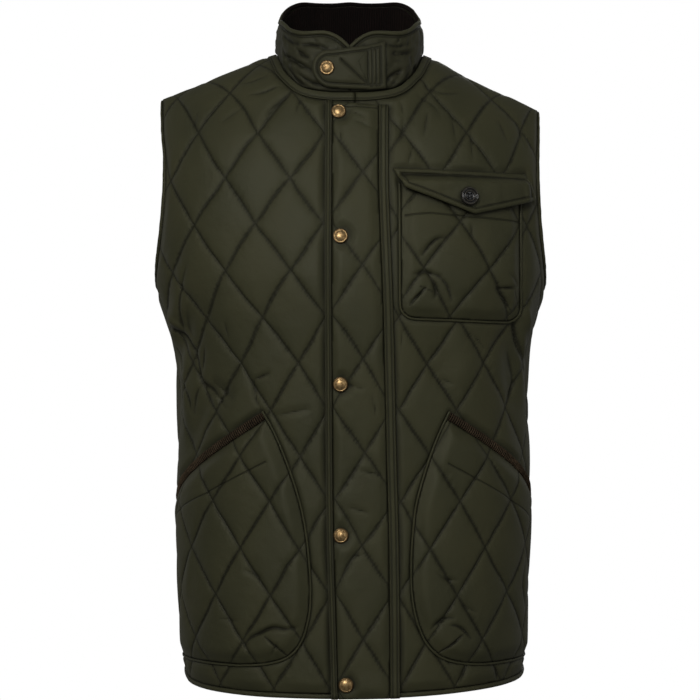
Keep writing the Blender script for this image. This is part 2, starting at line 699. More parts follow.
hand_pockets = {"hand_pocket_right": hand_pocket(RIGHT), "hand_pocket_left": hand_pocket(LEFT)}
chest_pocket = chest_pocket_line()
placket_cover = loop(placket_edge(PLACKET_LEFT, 0), placket_edge(PLACKET_RIGHT, 0)[::-1])
FLAP = [(42.5, -127.8), (176, -131), (184, -158), (121.5, -175), (54, -149)]
flap_corners = seen_places(FLAP)
flap_loop = resample(np.vstack([flap_corners[::-1], flap_corners[-1:]]), 2.0)[:-1]
outlines = {"right front": front_outline(RIGHT), "left front": front_outline(LEFT), "back": back_outline()}
print("points on the outlines:", {name: len(line) for name, line in outlines.items()})


# %% [markdown]
# Creases
#
# A crease is a short line on the cloth with a width and a depth, below zero for a trough. They are placed by
# hand where the photo has them, as seen from the front, and they die away at both ends.

# %% Creases of the fronts and the back
# Each row: the points that the crease passes (across, height), its width and its depth
WAIST_CREASES = [
    ([(-186, -278), (-170, -292), (-157, -308), (-152, -325),
      (-149, -341), (-136, -352), (-121, -371)], 3.2, -3.0),
    ([(-190, -259), (-175, -278), (-160, -298)], 5, 2.0),
    ([(-162, -221), (-170, -260), (-167, -292)], 3, -1.4),
    ([(-166, -259), (-165, -285), (-155, -305)], 3.5, 1.2),
    ([(-176, -305), (-170, -322), (-165, -333)], 3, -1.8),
    ([(-170, -335), (-162, -355), (-158, -375)], 3, -2.0),
    ([(-150, -343), (-155, -360), (-157, -378)], 3, -1.4),
    ([(-145, -305), (-146, -320), (-148, -335)], 3, -1.3),
    ([(-139, -341), (-114, -360)], 9, -2.4),
    ([(-96, -340), (-80, -333)], 3.5, -1.2),
    ([(-76, -376), (-54, -371), (-38, -368)], 5, -1.0),
    ([(-95, -344), (-93, -358), (-88, -369)], 3, -1.2),
    ([(-124, -280), (-121, -298)], 3, -0.7),
    ([(173, -259), (179, -305)], 5, 2.0),
    ([(164, -264), (167, -305), (175, -332)], 3.2, -1.8),
    ([(182, -290), (178, -325)], 3, -1.4),
    ([(158, -310), (165, -340), (162, -360)], 3.4, -1.2),
    ([(120, -290), (136, -312)], 4, -0.9),
    ([(52, -290), (50, -312)], 3, -0.7),
    ([(90, -338), (102, -344)], 3, -0.7),
]
SHOULDER_CREASES = [
    ([(-67, -40), (-88, -50), (-104, -52)], 3, -1.2),
    ([(-58, -50), (-78, -66), (-88, -81)], 3, -1.1),
    ([(-50, -56), (-54, -72)], 2.6, -0.8),
    ([(-80, -30), (-100, -38), (-114, -40)], 3, -0.9),
    ([(-110, -66), (-128, -80)], 3.5, -0.8),
    ([(-154, -68), (-160, -86)], 3, -0.8),
    ([(74, -42), (94, -50), (112, -50)], 3, -1.0),
    ([(64, -50), (84, -64), (92, -78)], 3, -1.0),
    ([(50, -58), (54, -74)], 2.6, -0.7),
    ([(42, -64), (35, -84)], 2.6, -0.8),
    ([(54, -78), (52, -99)], 2.8, -0.9),
    ([(78, -71), (74, -94)], 2.8, -0.9),
    ([(102, -76), (106, -99)], 2.8, -0.9),
    ([(62, -108), (58, -125)], 2.6, -0.9),
    ([(122, -89), (122, -118)], 2.8, -0.9),
    ([(150, -78), (158, -98)], 3, -0.9),
    ([(170, -76), (178, -108)], 3.2, -1.0),
]
PLACKET_CREASES = [
    ([(0, -69), (16, -78)], 2.4, -0.9),
    ([(4, -79), (23, -89)], 2.4, -0.8),
    ([(-11, -86), (-7, -108)], 2.6, -0.7),
    ([(-5, -344), (12, -348)], 2.8, -1.0),
    ([(12, -430), (30, -435)], 3.2, -1.1),
    ([(0, -467), (18, -472)], 3, -0.9),
    ([(22, -356), (27, -380)], 2.8, -0.8),
    ([(0, -517), (16, -513)], 3, -0.8),
]
POCKET_CREASES = [
    ([(72, -215), (83, -202), (93, -199)], 2.8, -1.6),
    ([(64, -235), (75, -233), (87, -237)], 2.6, -1.4),
    ([(87, -237), (95, -246), (99, -260)], 2.8, -1.4),
    ([(59, -263), (66, -256), (74, -248)], 1.8, -1.6),
    ([(83, -258), (84, -248), (82, -241)], 2.6, -1.2),
    ([(145, -247), (150, -255), (157, -264)], 2.6, -1.8),
    ([(147, -247), (164, -245)], 2.0, -1.3),
    ([(158, -233), (168, -245)], 2.4, -1.0),
    ([(119, -184), (121, -196)], 2.4, -0.8),
    ([(-104, -608), (-98, -599), (-86, -592), (-75, -587), (-62, -588), (-49, -586)], 2.8, -2.3),
    ([(-82, -596), (-70, -607), (-58, -619)], 1.8, -1.5),
    ([(-102, -530), (-88, -537)], 3.6, -0.8),
    ([(-126, -580), (-109, -582)], 3.2, -0.6),
    ([(-77, -614), (-70, -602)], 2.4, -0.9),
    ([(-154, -501), (-158, -562)], 7, 1.0),
    ([(78, -591), (84, -583), (94, -578), (102, -578)], 2.8, -1.7),
    ([(96, -584), (106, -587), (113, -594), (118, -601)], 2.4, -1.6),
    ([(87, -613), (98, -605), (109, -595)], 1.8, -1.5),
    ([(86, -532), (94, -539), (103, -539)], 3, -0.9),
    ([(111, -566), (122, -573)], 3, -0.7),
    ([(97, -617), (100, -630)], 2.6, -0.9),
    ([(115, -626), (111, -643)], 2.6, -1.0),
    ([(145, -630), (149, -653)], 2.8, -1.4),
    ([(173, -521), (169, -552), (174, -584)], 3.5, -1.2),
]
# The back shows nowhere in the photo, so it has only a few of the same kind
HIDDEN_CREASES = [
    ([(-232, -262), (-205, -286), (-178, -300)], 4, -2.2),
    ([(-240, -300), (-212, -322), (-196, -350)], 4, -2.0),
    ([(228, -270), (206, -290), (182, -296)], 4, -2.2),
    ([(238, -318), (215, -332), (192, -330)], 4, -1.8),
    ([(-60, -330), (-20, -338), (28, -332)], 6, -1.4),
    ([(70, -352), (110, -345)], 5, -1.2),
    ([(-130, -560), (-118, -600)], 4, -1.0),
    ([(120, -540), (134, -585)], 4, -1.0),
    ([(-150, -120), (-128, -150)], 4, -1.1),
    ([(146, -118), (122, -150)], 4, -1.1),
]


def laid(rows, on_cloth):
    """The creases' lines on the flat cloth. Short ones run out a little past their points."""
    lines = []
    for points, width, depth in rows:
        line = smooth_line(on_cloth(*np.array(points, float).T), 3)
        if len(line) < 12:
            middle = line.mean(0)
            line = middle + 1.3 * (line - middle)
        lines.append((line, 0.8 * width, depth))
    return lines


FRONT_CREASES = laid(WAIST_CREASES + SHOULDER_CREASES + PLACKET_CREASES + POCKET_CREASES, seen_from_front)
BACK_CREASES = laid(HIDDEN_CREASES, lambda s, t: np.stack([s, t], -1))


CREASE_STRENGTH = 1.3


def creased(s, t, creases):
    """The height that the creases add at each place, in mm."""
    points, total = np.stack([s, t], -1), np.zeros(len(s))
    for line, width, depth in creases:
        near = ((points > line.min(0) - 3 * width) & (points < line.max(0) + 3 * width)).all(1)
        if near.any():
            away, _, run = nearest_on(line, points[near])
            ends = np.sin(math.pi * np.clip(run / lengths_along(line)[-1], 0, 1)) ** 0.6
            total[near] += CREASE_STRENGTH * depth * np.exp(-((away / width) ** 2)) * ends
    return total


print("creases:", len(FRONT_CREASES), "in front and", len(BACK_CREASES), "behind")

# %% [markdown]
# The three panels of the body
#
# The wadding is pressed flat at every edge and under whatever is sewn on top. That is why a pocket sits in a
# shallow frame of flat cloth instead of floating on the pillows.

# %% Front and back panels
def pressed(edge, covers, s, t):
    full = smoothstep(edge, 0, 12)
    points = np.stack([s, t], -1)
    for cover in covers:
        away, _, _ = nearest_on(np.vstack([cover, cover[:1]]), points)
        full = full * np.where(inside(cover, points), 0, smoothstep(away, 0, 7))
    return full


def neck_cover(neck):
    return loop(neck, moved(neck, -np.sign(neck[-1, 0]) * 9)[::-1])


def quilted_face(base, origin, covers=(), creases=FRONT_CREASES, side=FRONT):
    """The outer face of a quilted piece, as a function of the place on the cloth."""

    def face(s, t, edge):
        rise, pucker = quilting(s, t, origin)
        full = pressed(edge, covers, s, t) * (0.35 + 0.65 * smoothstep(ridge_length(side, s) - t, 0, 70))
        calm = smoothstep(edge, 0, 6)
        rise = LOFT * rise + pucker
        return base + rise * full + creased(s, t, creases) * np.sqrt(full) + 0.35 * unevenness(s, t) * calm

    return face


def flat(height):
    return lambda s, t, edge: np.full(np.shape(s), float(height))


right_covers = [placket_cover, hand_pockets["hand_pocket_right"]["cover"], neck_cover(necks[-1, RIGHT])]
left_covers = [placket_cover, hand_pockets["hand_pocket_left"]["cover"], chest_pocket, flap_loop,
               neck_cover(necks[-1, LEFT])]
back_covers = [neck_cover(necks[1, RIGHT]), neck_cover(necks[1, LEFT])]
BACK_PITCH, FRONT_PITCH, POCKET_PITCH = PITCH * 1.15, PITCH * 0.84, PITCH * 0.64
front_right = cut_cloth("right_front", outlines["right front"], on_front, RIGHT_FRONT_QUILT, flat(0),
                        quilted_face(WALL, RIGHT_FRONT_QUILT, right_covers), pitch=FRONT_PITCH,
                        creases=FRONT_CREASES)
front_left = cut_cloth("left_front", outlines["left front"], on_front, LEFT_FRONT_QUILT, flat(0),
                       quilted_face(WALL, LEFT_FRONT_QUILT, left_covers), pitch=FRONT_PITCH,
                       creases=FRONT_CREASES)
back = cut_cloth("back_panel", outlines["back"], on_back, BACK_QUILT, flat(0),
                 quilted_face(WALL, BACK_QUILT, back_covers, BACK_CREASES, BACK), pitch=BACK_PITCH,
                 creases=BACK_CREASES)
print("panels:", [len(o.data.polygons) for o in (front_right, front_left, back)], "faces")

# %% [markdown]
# Bindings and the neck band
#
# Raw quilted edges are wrapped in a narrow folded strip. A strip is a small rounded section carried along the
# edge, with a little ripple where the stitches gather it.

# %% Bindings round the armholes, the hem and the neck
def binding_section(width, thickness):
    return [[0, -0.6], [width - 1.5, -0.6], [width - 0.4, 0], [width, thickness / 2 - 0.4],
            [width - 0.4, thickness - 1], [width - 1.5, thickness - 0.4], [width / 2, thickness - 0.1],
            [1, thickness - 0.5], [0, thickness - 1.2]]


BINDING = np.array(binding_section(BINDING_WIDTH, BINDING_THICKNESS)) * [-1, 1] + [BINDING_WIDTH, 0]
bindings = []
for name, side in (("armhole_edge_right", RIGHT), ("armhole_edge_left", LEFT)):
    rings = []
    for key, place, turn in (((-1, side), on_front, side), ((1, side), on_back, -side)):
        line = resample(armholes[key], PITCH)
        left = left_of(line, first=[0, -turn], last=[-1, 0])
        s = line[:, None, 0] + turn * BINDING[None, :, 0] * left[:, None, 0]
        t = line[:, None, 1] + turn * BINDING[None, :, 0] * left[:, None, 1]
        run = np.arange(len(line)) * PITCH
        thin = 1 - 0.5 * np.exp(-(((run[-1] - run) / 12) ** 2))
        n = BINDING[None, :, 1] * thin[:, None] + 0.15 * noise(run / 5 + 11 * turn, run / 50)[:, None]
        rings.append(place(s, t, n))
    skin = np.vstack([rings[0], rings[1][::-1][1:-1]])
    bindings.append(rings_to_object(name, skin, lengths_along(skin[:, 0]), closed=True))
hem_parts = [("hem_edge_right", -SIDE_SEAM + 0.15, CENTRE_FRONT - 0.2, on_front),
             ("hem_edge_left", CENTRE_FRONT + 0.2, SIDE_SEAM - 0.15, on_front),
             ("hem_edge_back", -SIDE_SEAM + 0.15, SIDE_SEAM - 0.15, on_back)]
hems = [strip(n, hem_line(a, b), BINDING, place) for n, a, b, place in hem_parts]

BAND_LOW, BAND_STITCH = WALL + SEAM_GAP, 7.2
NECK_BAND = np.array([(0.8, 0), (0.8, 1.1), (1.1, 1.45), (2, 1.6), (4.5, 1.65), (6.6, 1.6),
                      (BAND_STITCH, 1.45), (7.8, 1.6), (8.6, 1.55), (9, 1.1), (9, 0)]) + [0, BAND_LOW]


def neck_band_rings():
    def part(key, place, turn, line):
        line = resample(line, 3)
        left = left_of(line, first=[0, turn], last=[-1, 0])
        s = line[:, None, 0] - turn * NECK_BAND[None, :, 0] * left[:, None, 0] * -key
        t = line[:, None, 1] - turn * NECK_BAND[None, :, 0] * left[:, None, 1] * -key
        to_ridge = np.arange(len(line))[::-1] * 3
        thin = 1 - 0.65 * np.exp(-((to_ridge / 20) ** 2))
        return place(s, t, BAND_LOW + (NECK_BAND[None, :, 1] - BAND_LOW) * thin[:, None])

    top = necks[-1, RIGHT][0, 1]
    near_right, near_left = [CENTRE_FRONT - 0.5, top], [CENTRE_FRONT + 0.5, top]
    right_line = join([near_right], necks[-1, RIGHT])
    left_line = join([near_left], necks[-1, LEFT][necks[-1, LEFT][:, 0] > CENTRE_FRONT + 3])
    right = part(-1, on_front, -1, right_line)
    left = part(-1, on_front, 1, left_line)
    back_left = part(-1, on_back, -1, necks[1, LEFT])
    back_right = part(-1, on_back, 1, necks[1, RIGHT])
    return np.vstack([right, back_right[::-1][1:], back_left[1:-1], left[::-1]])


band_rings = neck_band_rings()
band_run = lengths_along(band_rings[:, 0])
neck_band = rings_to_object("neck_strip", band_rings, band_run, seam=NECK_BAND[:, 0] - BAND_STITCH)

# %% [markdown]
# The stand collar
#
# The collar is a straight band sewn to a round neckline, so its own cloth runs round the neck and straight
# up. Its lower edge is read from the neckline itself, and its height changes from the throat to the nape.

# %% Collar, its rolled edge and its corduroy inside
COLLAR_ALONG = [0, 0.12, 0.18, 0.22, 0.28, 0.33, 0.43, 0.48, 0.53, 0.58, 0.63, 0.68, 0.74, 0.79, 0.84, 1]
COLLAR_RISE = [62.5, 61.7, 58.2, 54.1, 48.7, 45.5, 39, 36.5, 36, 37.5, 43.5, 53, 64, 70, 72, 73.3]
COLLAR_LEAN = [-4, -4, -3.5, -3, -3, -3, -3, -3, -3, -2, -1, 0, 1, 2, 3, 4]
CORNER_WIDTH, CORNER_DROP, COLLAR_GAP, COLLAR_ROLL, COLLAR_BULGE = 27, 17.4, 0.2, 2.3, 2


def collar_foot(place, line):
    foot = place(line[:, 0], line[:, 1], WALL)
    level = foot - place(line[:, 0], line[:, 1], 0)
    level[:, 2] = 0
    level /= np.linalg.norm(level, axis=1, keepdims=True)
    return foot - (WALL + SEAM_GAP) * level


foot_parts = [collar_foot(on_back, necks[1, RIGHT]), collar_foot(on_front, necks[-1, RIGHT])[::-1][1:],
              collar_foot(on_front, necks[-1, LEFT])[1:], collar_foot(on_back, necks[1, LEFT])[::-1][1:-1]]
foot = resample(np.vstack(foot_parts), 1.0, closed=True)
for _ in range(30):  # a light smoothing, so that the seam's small corners don't run up the collar
    foot = (np.roll(foot, 1, 0) + 2 * foot + np.roll(foot, -1, 0)) / 4
FOOT = np.vstack([foot, foot[:1]])
FOOT_LENGTH = lengths_along(FOOT)
COLLAR_HALF = FOOT_LENGTH[-1] / 2
ahead = np.roll(foot, -3, 0) - np.roll(foot, 3, 0)
OUTWARD = np.stack([ahead[:, 1], -ahead[:, 0], 0 * ahead[:, 0]], -1)
OUTWARD /= np.linalg.norm(OUTWARD, axis=1, keepdims=True)
if (OUTWARD * foot).sum() < 0:
    OUTWARD = -OUTWARD
OUTWARD = np.vstack([OUTWARD, OUTWARD[:1]])


def collar_form(p, q):
    """p runs round from the nape towards the wearer's right and q runs up."""
    at = np.mod(p, FOOT_LENGTH[-1])
    base = np.stack([np.interp(at, FOOT_LENGTH, FOOT[:, k]) for k in range(3)], -1)
    out = np.stack([np.interp(at, FOOT_LENGTH, OUTWARD[:, k]) for k in range(3)], -1)
    along = 1 - np.minimum(at, FOOT_LENGTH[-1] - at) / COLLAR_HALF
    rise, lean = smooth(COLLAR_ALONG, COLLAR_RISE, along), smooth(COLLAR_ALONG, COLLAR_LEAN, along)
    share = q / rise
    push = lean * share + COLLAR_BULGE * 4 * share * (1 - share)
    return base + out * push[..., None] + np.stack([0 * q, 0 * q, q + COLLAR_GAP], -1)


def on_collar(p, q, n):
    p, q, n = np.broadcast_arrays(np.asarray(p, float), np.asarray(q, float), np.asarray(n, float))
    return collar_form(p, q) + normal_of(collar_form, p, q) * n[..., None]


def collar_top(p):
    from_front = COLLAR_HALF - np.abs(p)
    rise = smooth(COLLAR_ALONG, COLLAR_RISE, from_front / COLLAR_HALF) - 2 * COLLAR_ROLL
    share = np.clip(1 - from_front / CORNER_WIDTH, 0, 1)
    return rise - CORNER_DROP * share**2


ends = np.linspace(-(COLLAR_HALF - 0.4), COLLAR_HALF - 0.4, 240)
collar_outline = loop(np.stack([ends, 0 * ends], -1), np.stack([ends, collar_top(ends)], -1)[::-1])


COLLAR_CREASES = [  # as seen from the front: the points, the width and the depth
    ([(-66, -1), (-63, -10), (-56, -15), (-47, -21), (-37, -27)], 3, -2.4),
    ([(-48, 0), (-39, 0), (-28, -3)], 2.4, -1.6),
    ([(-54, -3), (-47, -10), (-42, -13)], 2.4, -1.6),
    ([(-28, -3), (-21, -7)], 2.2, -1.1),
    ([(45, -8), (60, -6)], 2.6, -1.7),
    ([(38, -36), (43, -30), (51, -27)], 2.4, -1.7),
    ([(40, -17), (49, -20), (58, -17)], 3, 0.9),
    ([(62, -20), (66, -28), (59, -36)], 3, -1.9),
    ([(-50, -30), (-38, -38), (-25, -42)], 2.6, -1.4),
    ([(-60, -22), (-54, -34), (-44, -42)], 3, -1.5),
    ([(54, 13), (48, 3)], 2.4, -0.9),
    ([(38, 1), (47, -1), (58, 2)], 2.4, -1.2),
    ([(-20, 7), (-10, 1)], 2.2, -0.9),
    ([(-67, 13), (-60, 5), (-54, 2)], 3, -1.2),
    ([(-40, 11), (-34, 3)], 2.4, -0.8),
]


def seen_on_collar(x, z):
    """The collar's p, from the middle of the front, and q at points given as they are seen from the front."""
    first, last = FOOT[:-1, 0].argmin(), FOOT[:-1, 0].argmax()
    p = np.interp(x, FOOT[first:last, 0], FOOT_LENGTH[first:last]) - COLLAR_HALF
    return np.stack([p, z - np.interp(x, FOOT[first:last, 0], FOOT[first:last, 2])], -1)


def collar_creases():
    """Each crease at the front, and once more round the back at the same distance from the nape."""
    rows = []
    for line, width, depth in laid(COLLAR_CREASES, seen_on_collar):
        end = -np.sign(line[0, 0]) * COLLAR_HALF
        rows += [(line + [end, 0], width, depth), (line * [0.9, 1.15], width, 0.8 * depth)]
    return rows


collar_folds = collar_creases()
COLLAR_PITCH, COLLAR_STITCH = PITCH * 0.7, 1.6


def collar_face(p, q, edge):
    rise, pucker = quilting(p, q, COLLAR_QUILT)
    wave = 0.7 * noise(p / 10 + 100, q / 12 + 8) + 0.45 * noise(p / 6 + 60, q / 5 + 30)
    wave += 1.3 * creased(p, q, collar_folds)
    return WALL + (0.9 * rise + 1.6 * pucker) * smoothstep(edge, 0, 9) + wave * smoothstep(edge, 0, 4)


collar = cut_cloth("stand_collar", collar_outline, on_collar, COLLAR_QUILT, flat(0), collar_face,
                   pitch=COLLAR_PITCH, creases=collar_folds,
                   stitch=lambda p, q, edge: collar_top(p) - COLLAR_STITCH - q)
top_line = np.stack([ends, collar_top(ends)], -1)
roll_section = cord(COLLAR_ROLL, COLLAR_ROLL, WALL / 2 - COLLAR_ROLL, 12)
collar_roll = strip("collar_rolled_edge", top_line, roll_section, on_collar, first=[0, 1], last=[0, 1],
                    ripple=0.25)
LINING_SHARE, LINING_LOW, LINING_HIGH = 0.34, -2.2, -0.9
lining_reach = COLLAR_HALF * LINING_SHARE
reach = np.linspace(-lining_reach, lining_reach, 120)
lining_outline = loop(np.stack([reach, 0 * reach + 1], -1),
                      np.stack([reach, collar_top(reach) - 0.6], -1)[::-1])
collar_lining = cut_cloth("collar_corduroy", lining_outline, on_collar, (0, 0), flat(LINING_LOW),
                          flat(LINING_HIGH))
print(f"collar {2 * COLLAR_HALF:.0f} mm round")


# %% [markdown]
# The tab, the placket and its strips
#
# The tab and the placket lie on top of the cloth that they close. Each starts just above the face below it,
# and its rows of topstitching are kept as a signed distance on its points, which the cloth's finish reads.

# %% Collar tab and placket
TAB = {"left": -37.5, "right": 36.5, "bottom": 4, "height": 38, "sewn_bottom": 1.5, "sewn_top": 49}
TAB_LOW = WALL + 1.9


def stitch_lines(*distances):
    """The signed distance whose size is the least: the nearest of several stitch lines."""
    stack = np.stack(np.broadcast_arrays(*distances))
    pick = np.abs(stack).argmin(0)
    return np.take_along_axis(stack, pick[None], 0)[0]


def tab_outline():
    radius = TAB["height"] / 2
    turn = np.linspace(math.pi / 2, -math.pi / 2, 24)
    bend = np.stack([COLLAR_HALF + TAB["left"] + radius * (1 - np.cos(turn)),
                     TAB["bottom"] + radius * (1 + np.sin(turn))], -1)
    sewn = COLLAR_HALF + TAB["right"]
    return loop(bend, [[sewn, TAB["sewn_bottom"]], [sewn, TAB["sewn_top"]]])


TAB_ROWS = [(18.5, 1), (22.5, -1), (26.5, 1), (30.5, -1)]  # place along the tab; the signs alternate
TAB_EDGE_STITCH = 4.8


def tab_stitch(p, q, edge):
    along = p - COLLAR_HALF
    rows = [np.where(edge > 3, sign * (along - x), FAR) for x, sign in TAB_ROWS]
    slant = np.where((along > -9) & (along < 17), np.abs(0.94 * (along + 9) + q - 33) * 0.73, FAR)
    return stitch_lines(edge - TAB_EDGE_STITCH, slant, *rows)


def tab_face(p, q, edge):
    rows = smoothstep(np.abs(tab_stitch(p, q, edge)), 0.3, 4)
    return TAB_LOW + 1.7 + 1.0 * rows * smoothstep(edge, 0, 3) + 0.2 * noise(p / 11, q / 9)


tab = cut_cloth("collar_tab_cloth", tab_outline(), on_collar, (COLLAR_HALF, 20), flat(TAB_LOW), tab_face,
                pitch=PITCH * 0.5, stitch=tab_stitch)


def placket_low(t):
    return WALL + SEAM_GAP + (BINDING_THICKNESS - WALL) * smoothstep(HEM_HEIGHT + 30 - t, 0, 20)


SNAPS = [(-11.5, -70.5), (-9.5, -196.7), (-9.5, -344), (-9, -495), (-4, -643)]
snap_places = seen_places(SNAPS)


def placket_face(s, t, edge):
    rise, pucker = quilting(s, t, PLACKET_QUILT)
    near = np.min([np.hypot(s - a, t - b) for a, b in snap_places], axis=0)
    full = smoothstep(edge, 0, 9) * smoothstep(near, 7, 17)
    rise = (LOFT * rise + pucker) * full - 0.5 * np.exp(-(((near - 9) / 4) ** 2))
    small = creased(s, t, FRONT_CREASES) + 0.35 * unevenness(s, t)
    return placket_low(t) + WALL + rise + small * smoothstep(edge, 0, 6)


def placket_stitch(s, t, edge):
    top = PLACKET_TOP - 5 - t - PLACKET_FALL / 60 * (s + 20)
    return np.where(np.abs(top) < 6, top, FAR)


placket_body = loop(placket_edge(PLACKET_LEFT, PLACKET_ROLL + SEAM_GAP),
                    placket_edge(PLACKET_RIGHT, -PLACKET_STRIP - SEAM_GAP)[::-1])
placket = cut_cloth("placket_cloth", placket_body, on_front, PLACKET_QUILT, lambda s, t, edge: placket_low(t),
                    placket_face, stitch=placket_stitch, creases=FRONT_CREASES)


def placket_strip(name, xs, far):
    outer, inner = placket_edge(xs, 0), placket_edge(xs, far)
    shares = [0, 0, 0.05, 0.14, 0.24, 0.34, 0.5, 0.66, 0.76, 0.86, 0.95, 1, 1]
    rises = [0, 2.4, 3.1, 3.4, 3.15, 3.4, 3.45, 3.4, 3.15, 3.35, 3.0, 2.3, 0]
    seam = [abs(far) * (share - 0.24 if share < 0.5 else 0.76 - share) for share in shares]
    run = lengths_along(outer)
    rings = []
    for k, (share, rise) in enumerate(zip(shares, rises)):
        at = outer + (inner - outer) * share
        wave = 0.16 * noise(run / 8 + 5 * far, 3 + 0.2 * k + 0 * run) if 0 < k < len(shares) - 1 else 0
        rings.append(on_front(at[:, 0], at[:, 1], placket_low(at[:, 1]) + rise + wave))
    return rings_to_object(name, np.stack(rings, 1), run, seam=seam)


placket_rim = placket_strip("placket_rim", PLACKET_LEFT, PLACKET_ROLL)
placket_band = placket_strip("placket_band", PLACKET_RIGHT, -PLACKET_STRIP)

# %% [markdown]
# Pockets
#
# Each pocket is a quilted wall laid on its front. A thin piping runs round its sewn edge and two corduroy
# strips bind the mouth of each hand pocket. Corduroy is modelled as real ribs, so it catches the light.

# %% Hand pockets, chest pocket, pipings and corduroy trims
# A row of stitches across each pocket, as seen from the front, holds what is sewn inside it
POCKET_ROWS = {
    "hand_pocket_right": [(-172, -480), (-142, -456), (-81, -421)],
    "hand_pocket_left": [(95, -423), (180, -489)],
    "chest_pocket": [(54, -176), (80, -174), (171, -181)],
}
POCKET_WALL, HAND_POCKET_BULGE, CHEST_POCKET_BULGE = 2.0, 3, 1.2
# Short darts take up the fullness at the lower corners
DARTS = {
    "hand_pocket_right": [[(-82, -596), (-70, -607), (-58, -619)]],
    "hand_pocket_left": [[(87, -613), (98, -605), (109, -595)]],
    "chest_pocket": [[(59, -265), (73, -248)], [(69, -246), (81, -251)], [(144, -247), (163, -247)],
                     [(162, -250), (168, -266)], [(145, -248), (159, -268)]],
}


def pocket_piece(name, outline, origin, bulge):
    """A quilted wall that stands off its front in the middle, with a row of stitches across and its darts."""
    row, darts = seen_places(POCKET_ROWS[name]), [seen_places(dart) for dart in DARTS[name]]
    wadding = quilted_face(POCKET_WALL, origin)

    def to_row(s, t):
        return np.where((s > row[0, 0]) & (s < row[-1, 0]), t - np.interp(s, *row.T), FAR)

    def low(s, t, edge):
        full = smoothstep(edge, 0, 16) * smoothstep(SIDE_SEAM - np.abs(s), 5, 70)
        return WALL + SEAM_GAP + bulge * full

    def high(s, t, edge):
        dent = 0.5 * np.exp(-((to_row(s, t) / 2.2) ** 2))
        return low(s, t, edge) + wadding(s, t, edge) - dent

    def seams(s, t, edge):
        to_dart = np.min([nearest_on(dart, np.stack([s, t], -1))[0] for dart in darts], axis=0)
        return stitch_lines(to_row(s, t), to_dart)

    return cut_cloth(name + "_cloth", outline, on_front, origin, low, high, pitch=POCKET_PITCH, stitch=seams,
                     creases=FRONT_CREASES)


PIPING_OFFSET, PIPING_RADIUS = 1.6, 1.3


def piping(name, line, side):
    section = cord(side * PIPING_OFFSET, PIPING_RADIUS, WALL + SEAM_GAP)
    return strip(name, line, section, on_front, step=2.0, ripple=0.25)


RIB_PITCH, RIB_HEIGHT = 2.4, 0.6
# The trim's section: how far from the pocket's mouth, and how far out
TRIM_SECTION = [(0.3, 0), (0.4, 1.6), (1.4, 2.35), (2.8, 2.75), (4.3, 2.85), (5.8, 2.75), (7.2, 2.35),
                (8.3, 1.5), (8.4, 0)]


def corduroy_strip(name, line, side):
    start, end = line[0], line[-1]
    whole = np.linalg.norm(end - start)
    share = 1 - TRIM_WIDTH * abs(end[1] - start[1]) / whole / abs(end[0] - start[0])
    finish = start + share * (end - start)
    row = resample(np.array([start, finish]), RIB_PITCH / 6)
    run = np.arange(len(row)) * RIB_PITCH / 6
    left = np.array([-(finish - start)[1], (finish - start)[0]]) / (whole * share)
    rib = RIB_HEIGHT * np.cos(2 * math.pi * run / RIB_PITCH) + 0.3 * noise(run / 9 + 3, 0 * run + 7)
    low = WALL + SEAM_GAP
    rings = []
    for away, rise in TRIM_SECTION:
        at = row + side * away * left
        rings.append(on_front(at[:, 0], at[:, 1], low + rise + rib * (rise > 0)))
    return rings_to_object(name, np.stack(rings, 1), run)


pockets, pipings, trims = {}, {}, {}
for name, pocket in hand_pockets.items():
    origin = RIGHT_FRONT_QUILT if pocket["side"] == RIGHT else LEFT_FRONT_QUILT
    pockets[name] = pocket_piece(name, pocket["outline"], origin, HAND_POCKET_BULGE)
    pipings[name] = piping(name + "_cord", pocket["sewn"], -pocket["side"])
    trims[name] = corduroy_strip(name + "_corduroy", pocket["mouth"], pocket["side"])
pockets["chest_pocket"] = pocket_piece("chest_pocket", chest_pocket, CHEST_QUILT, CHEST_POCKET_BULGE)
pipings["chest_pocket"] = piping("chest_pocket_cord", chest_pocket, -1)

# %% [markdown]
# The flap, the press studs and the button
#
# The flap is sewn down along its top and lifts off the pocket below. Caps of press studs are turned: a low
# rim, a groove and a dome. The button is a dished disc with four holes and its thread.

# %% Flap, studs and button
FLAP_LIFT, FLAP_STITCH, FLAP_WALL = 1.2 + 2 + LOFT + 3.2, 5.2, 1.6


def flap_low(s, t):
    down = smoothstep(flap_corners[:2, 1].max() - t, 6, 16)
    away, _, _ = nearest_on(np.vstack([chest_pocket, chest_pocket[:1]]), np.stack([s, t], -1))
    off = np.where(inside(chest_pocket, np.stack([s, t], -1)), 0, away)
    return WALL + SEAM_GAP + down * (1 - 0.45 * smoothstep(off, 3, 14)) * FLAP_LIFT


def flap_stitch(s, t, edge):
    return edge - FLAP_STITCH


def flap_face(s, t, edge):
    border = 1.1 * np.exp(-(((edge - 2.6) / 2.1) ** 2))
    seam = -0.5 * np.exp(-(((edge - 5.4) / 1.3) ** 2))
    middle = 0.8 * smoothstep(edge, 6, 20)
    ruck = 0.35 * noise(s / 7 + 20, t / 19) + 0.3 * noise(s / 17, t / 9 + 3)
    return flap_low(s, t) + FLAP_WALL + border + seam + middle + ruck * smoothstep(edge, 0, 5)


flap = cut_cloth("flap_cloth", flap_loop, on_front, tuple(flap_corners[3]), lambda s, t, edge: flap_low(s, t),
                 flap_face, pitch=PITCH * 0.6, stitch=flap_stitch)


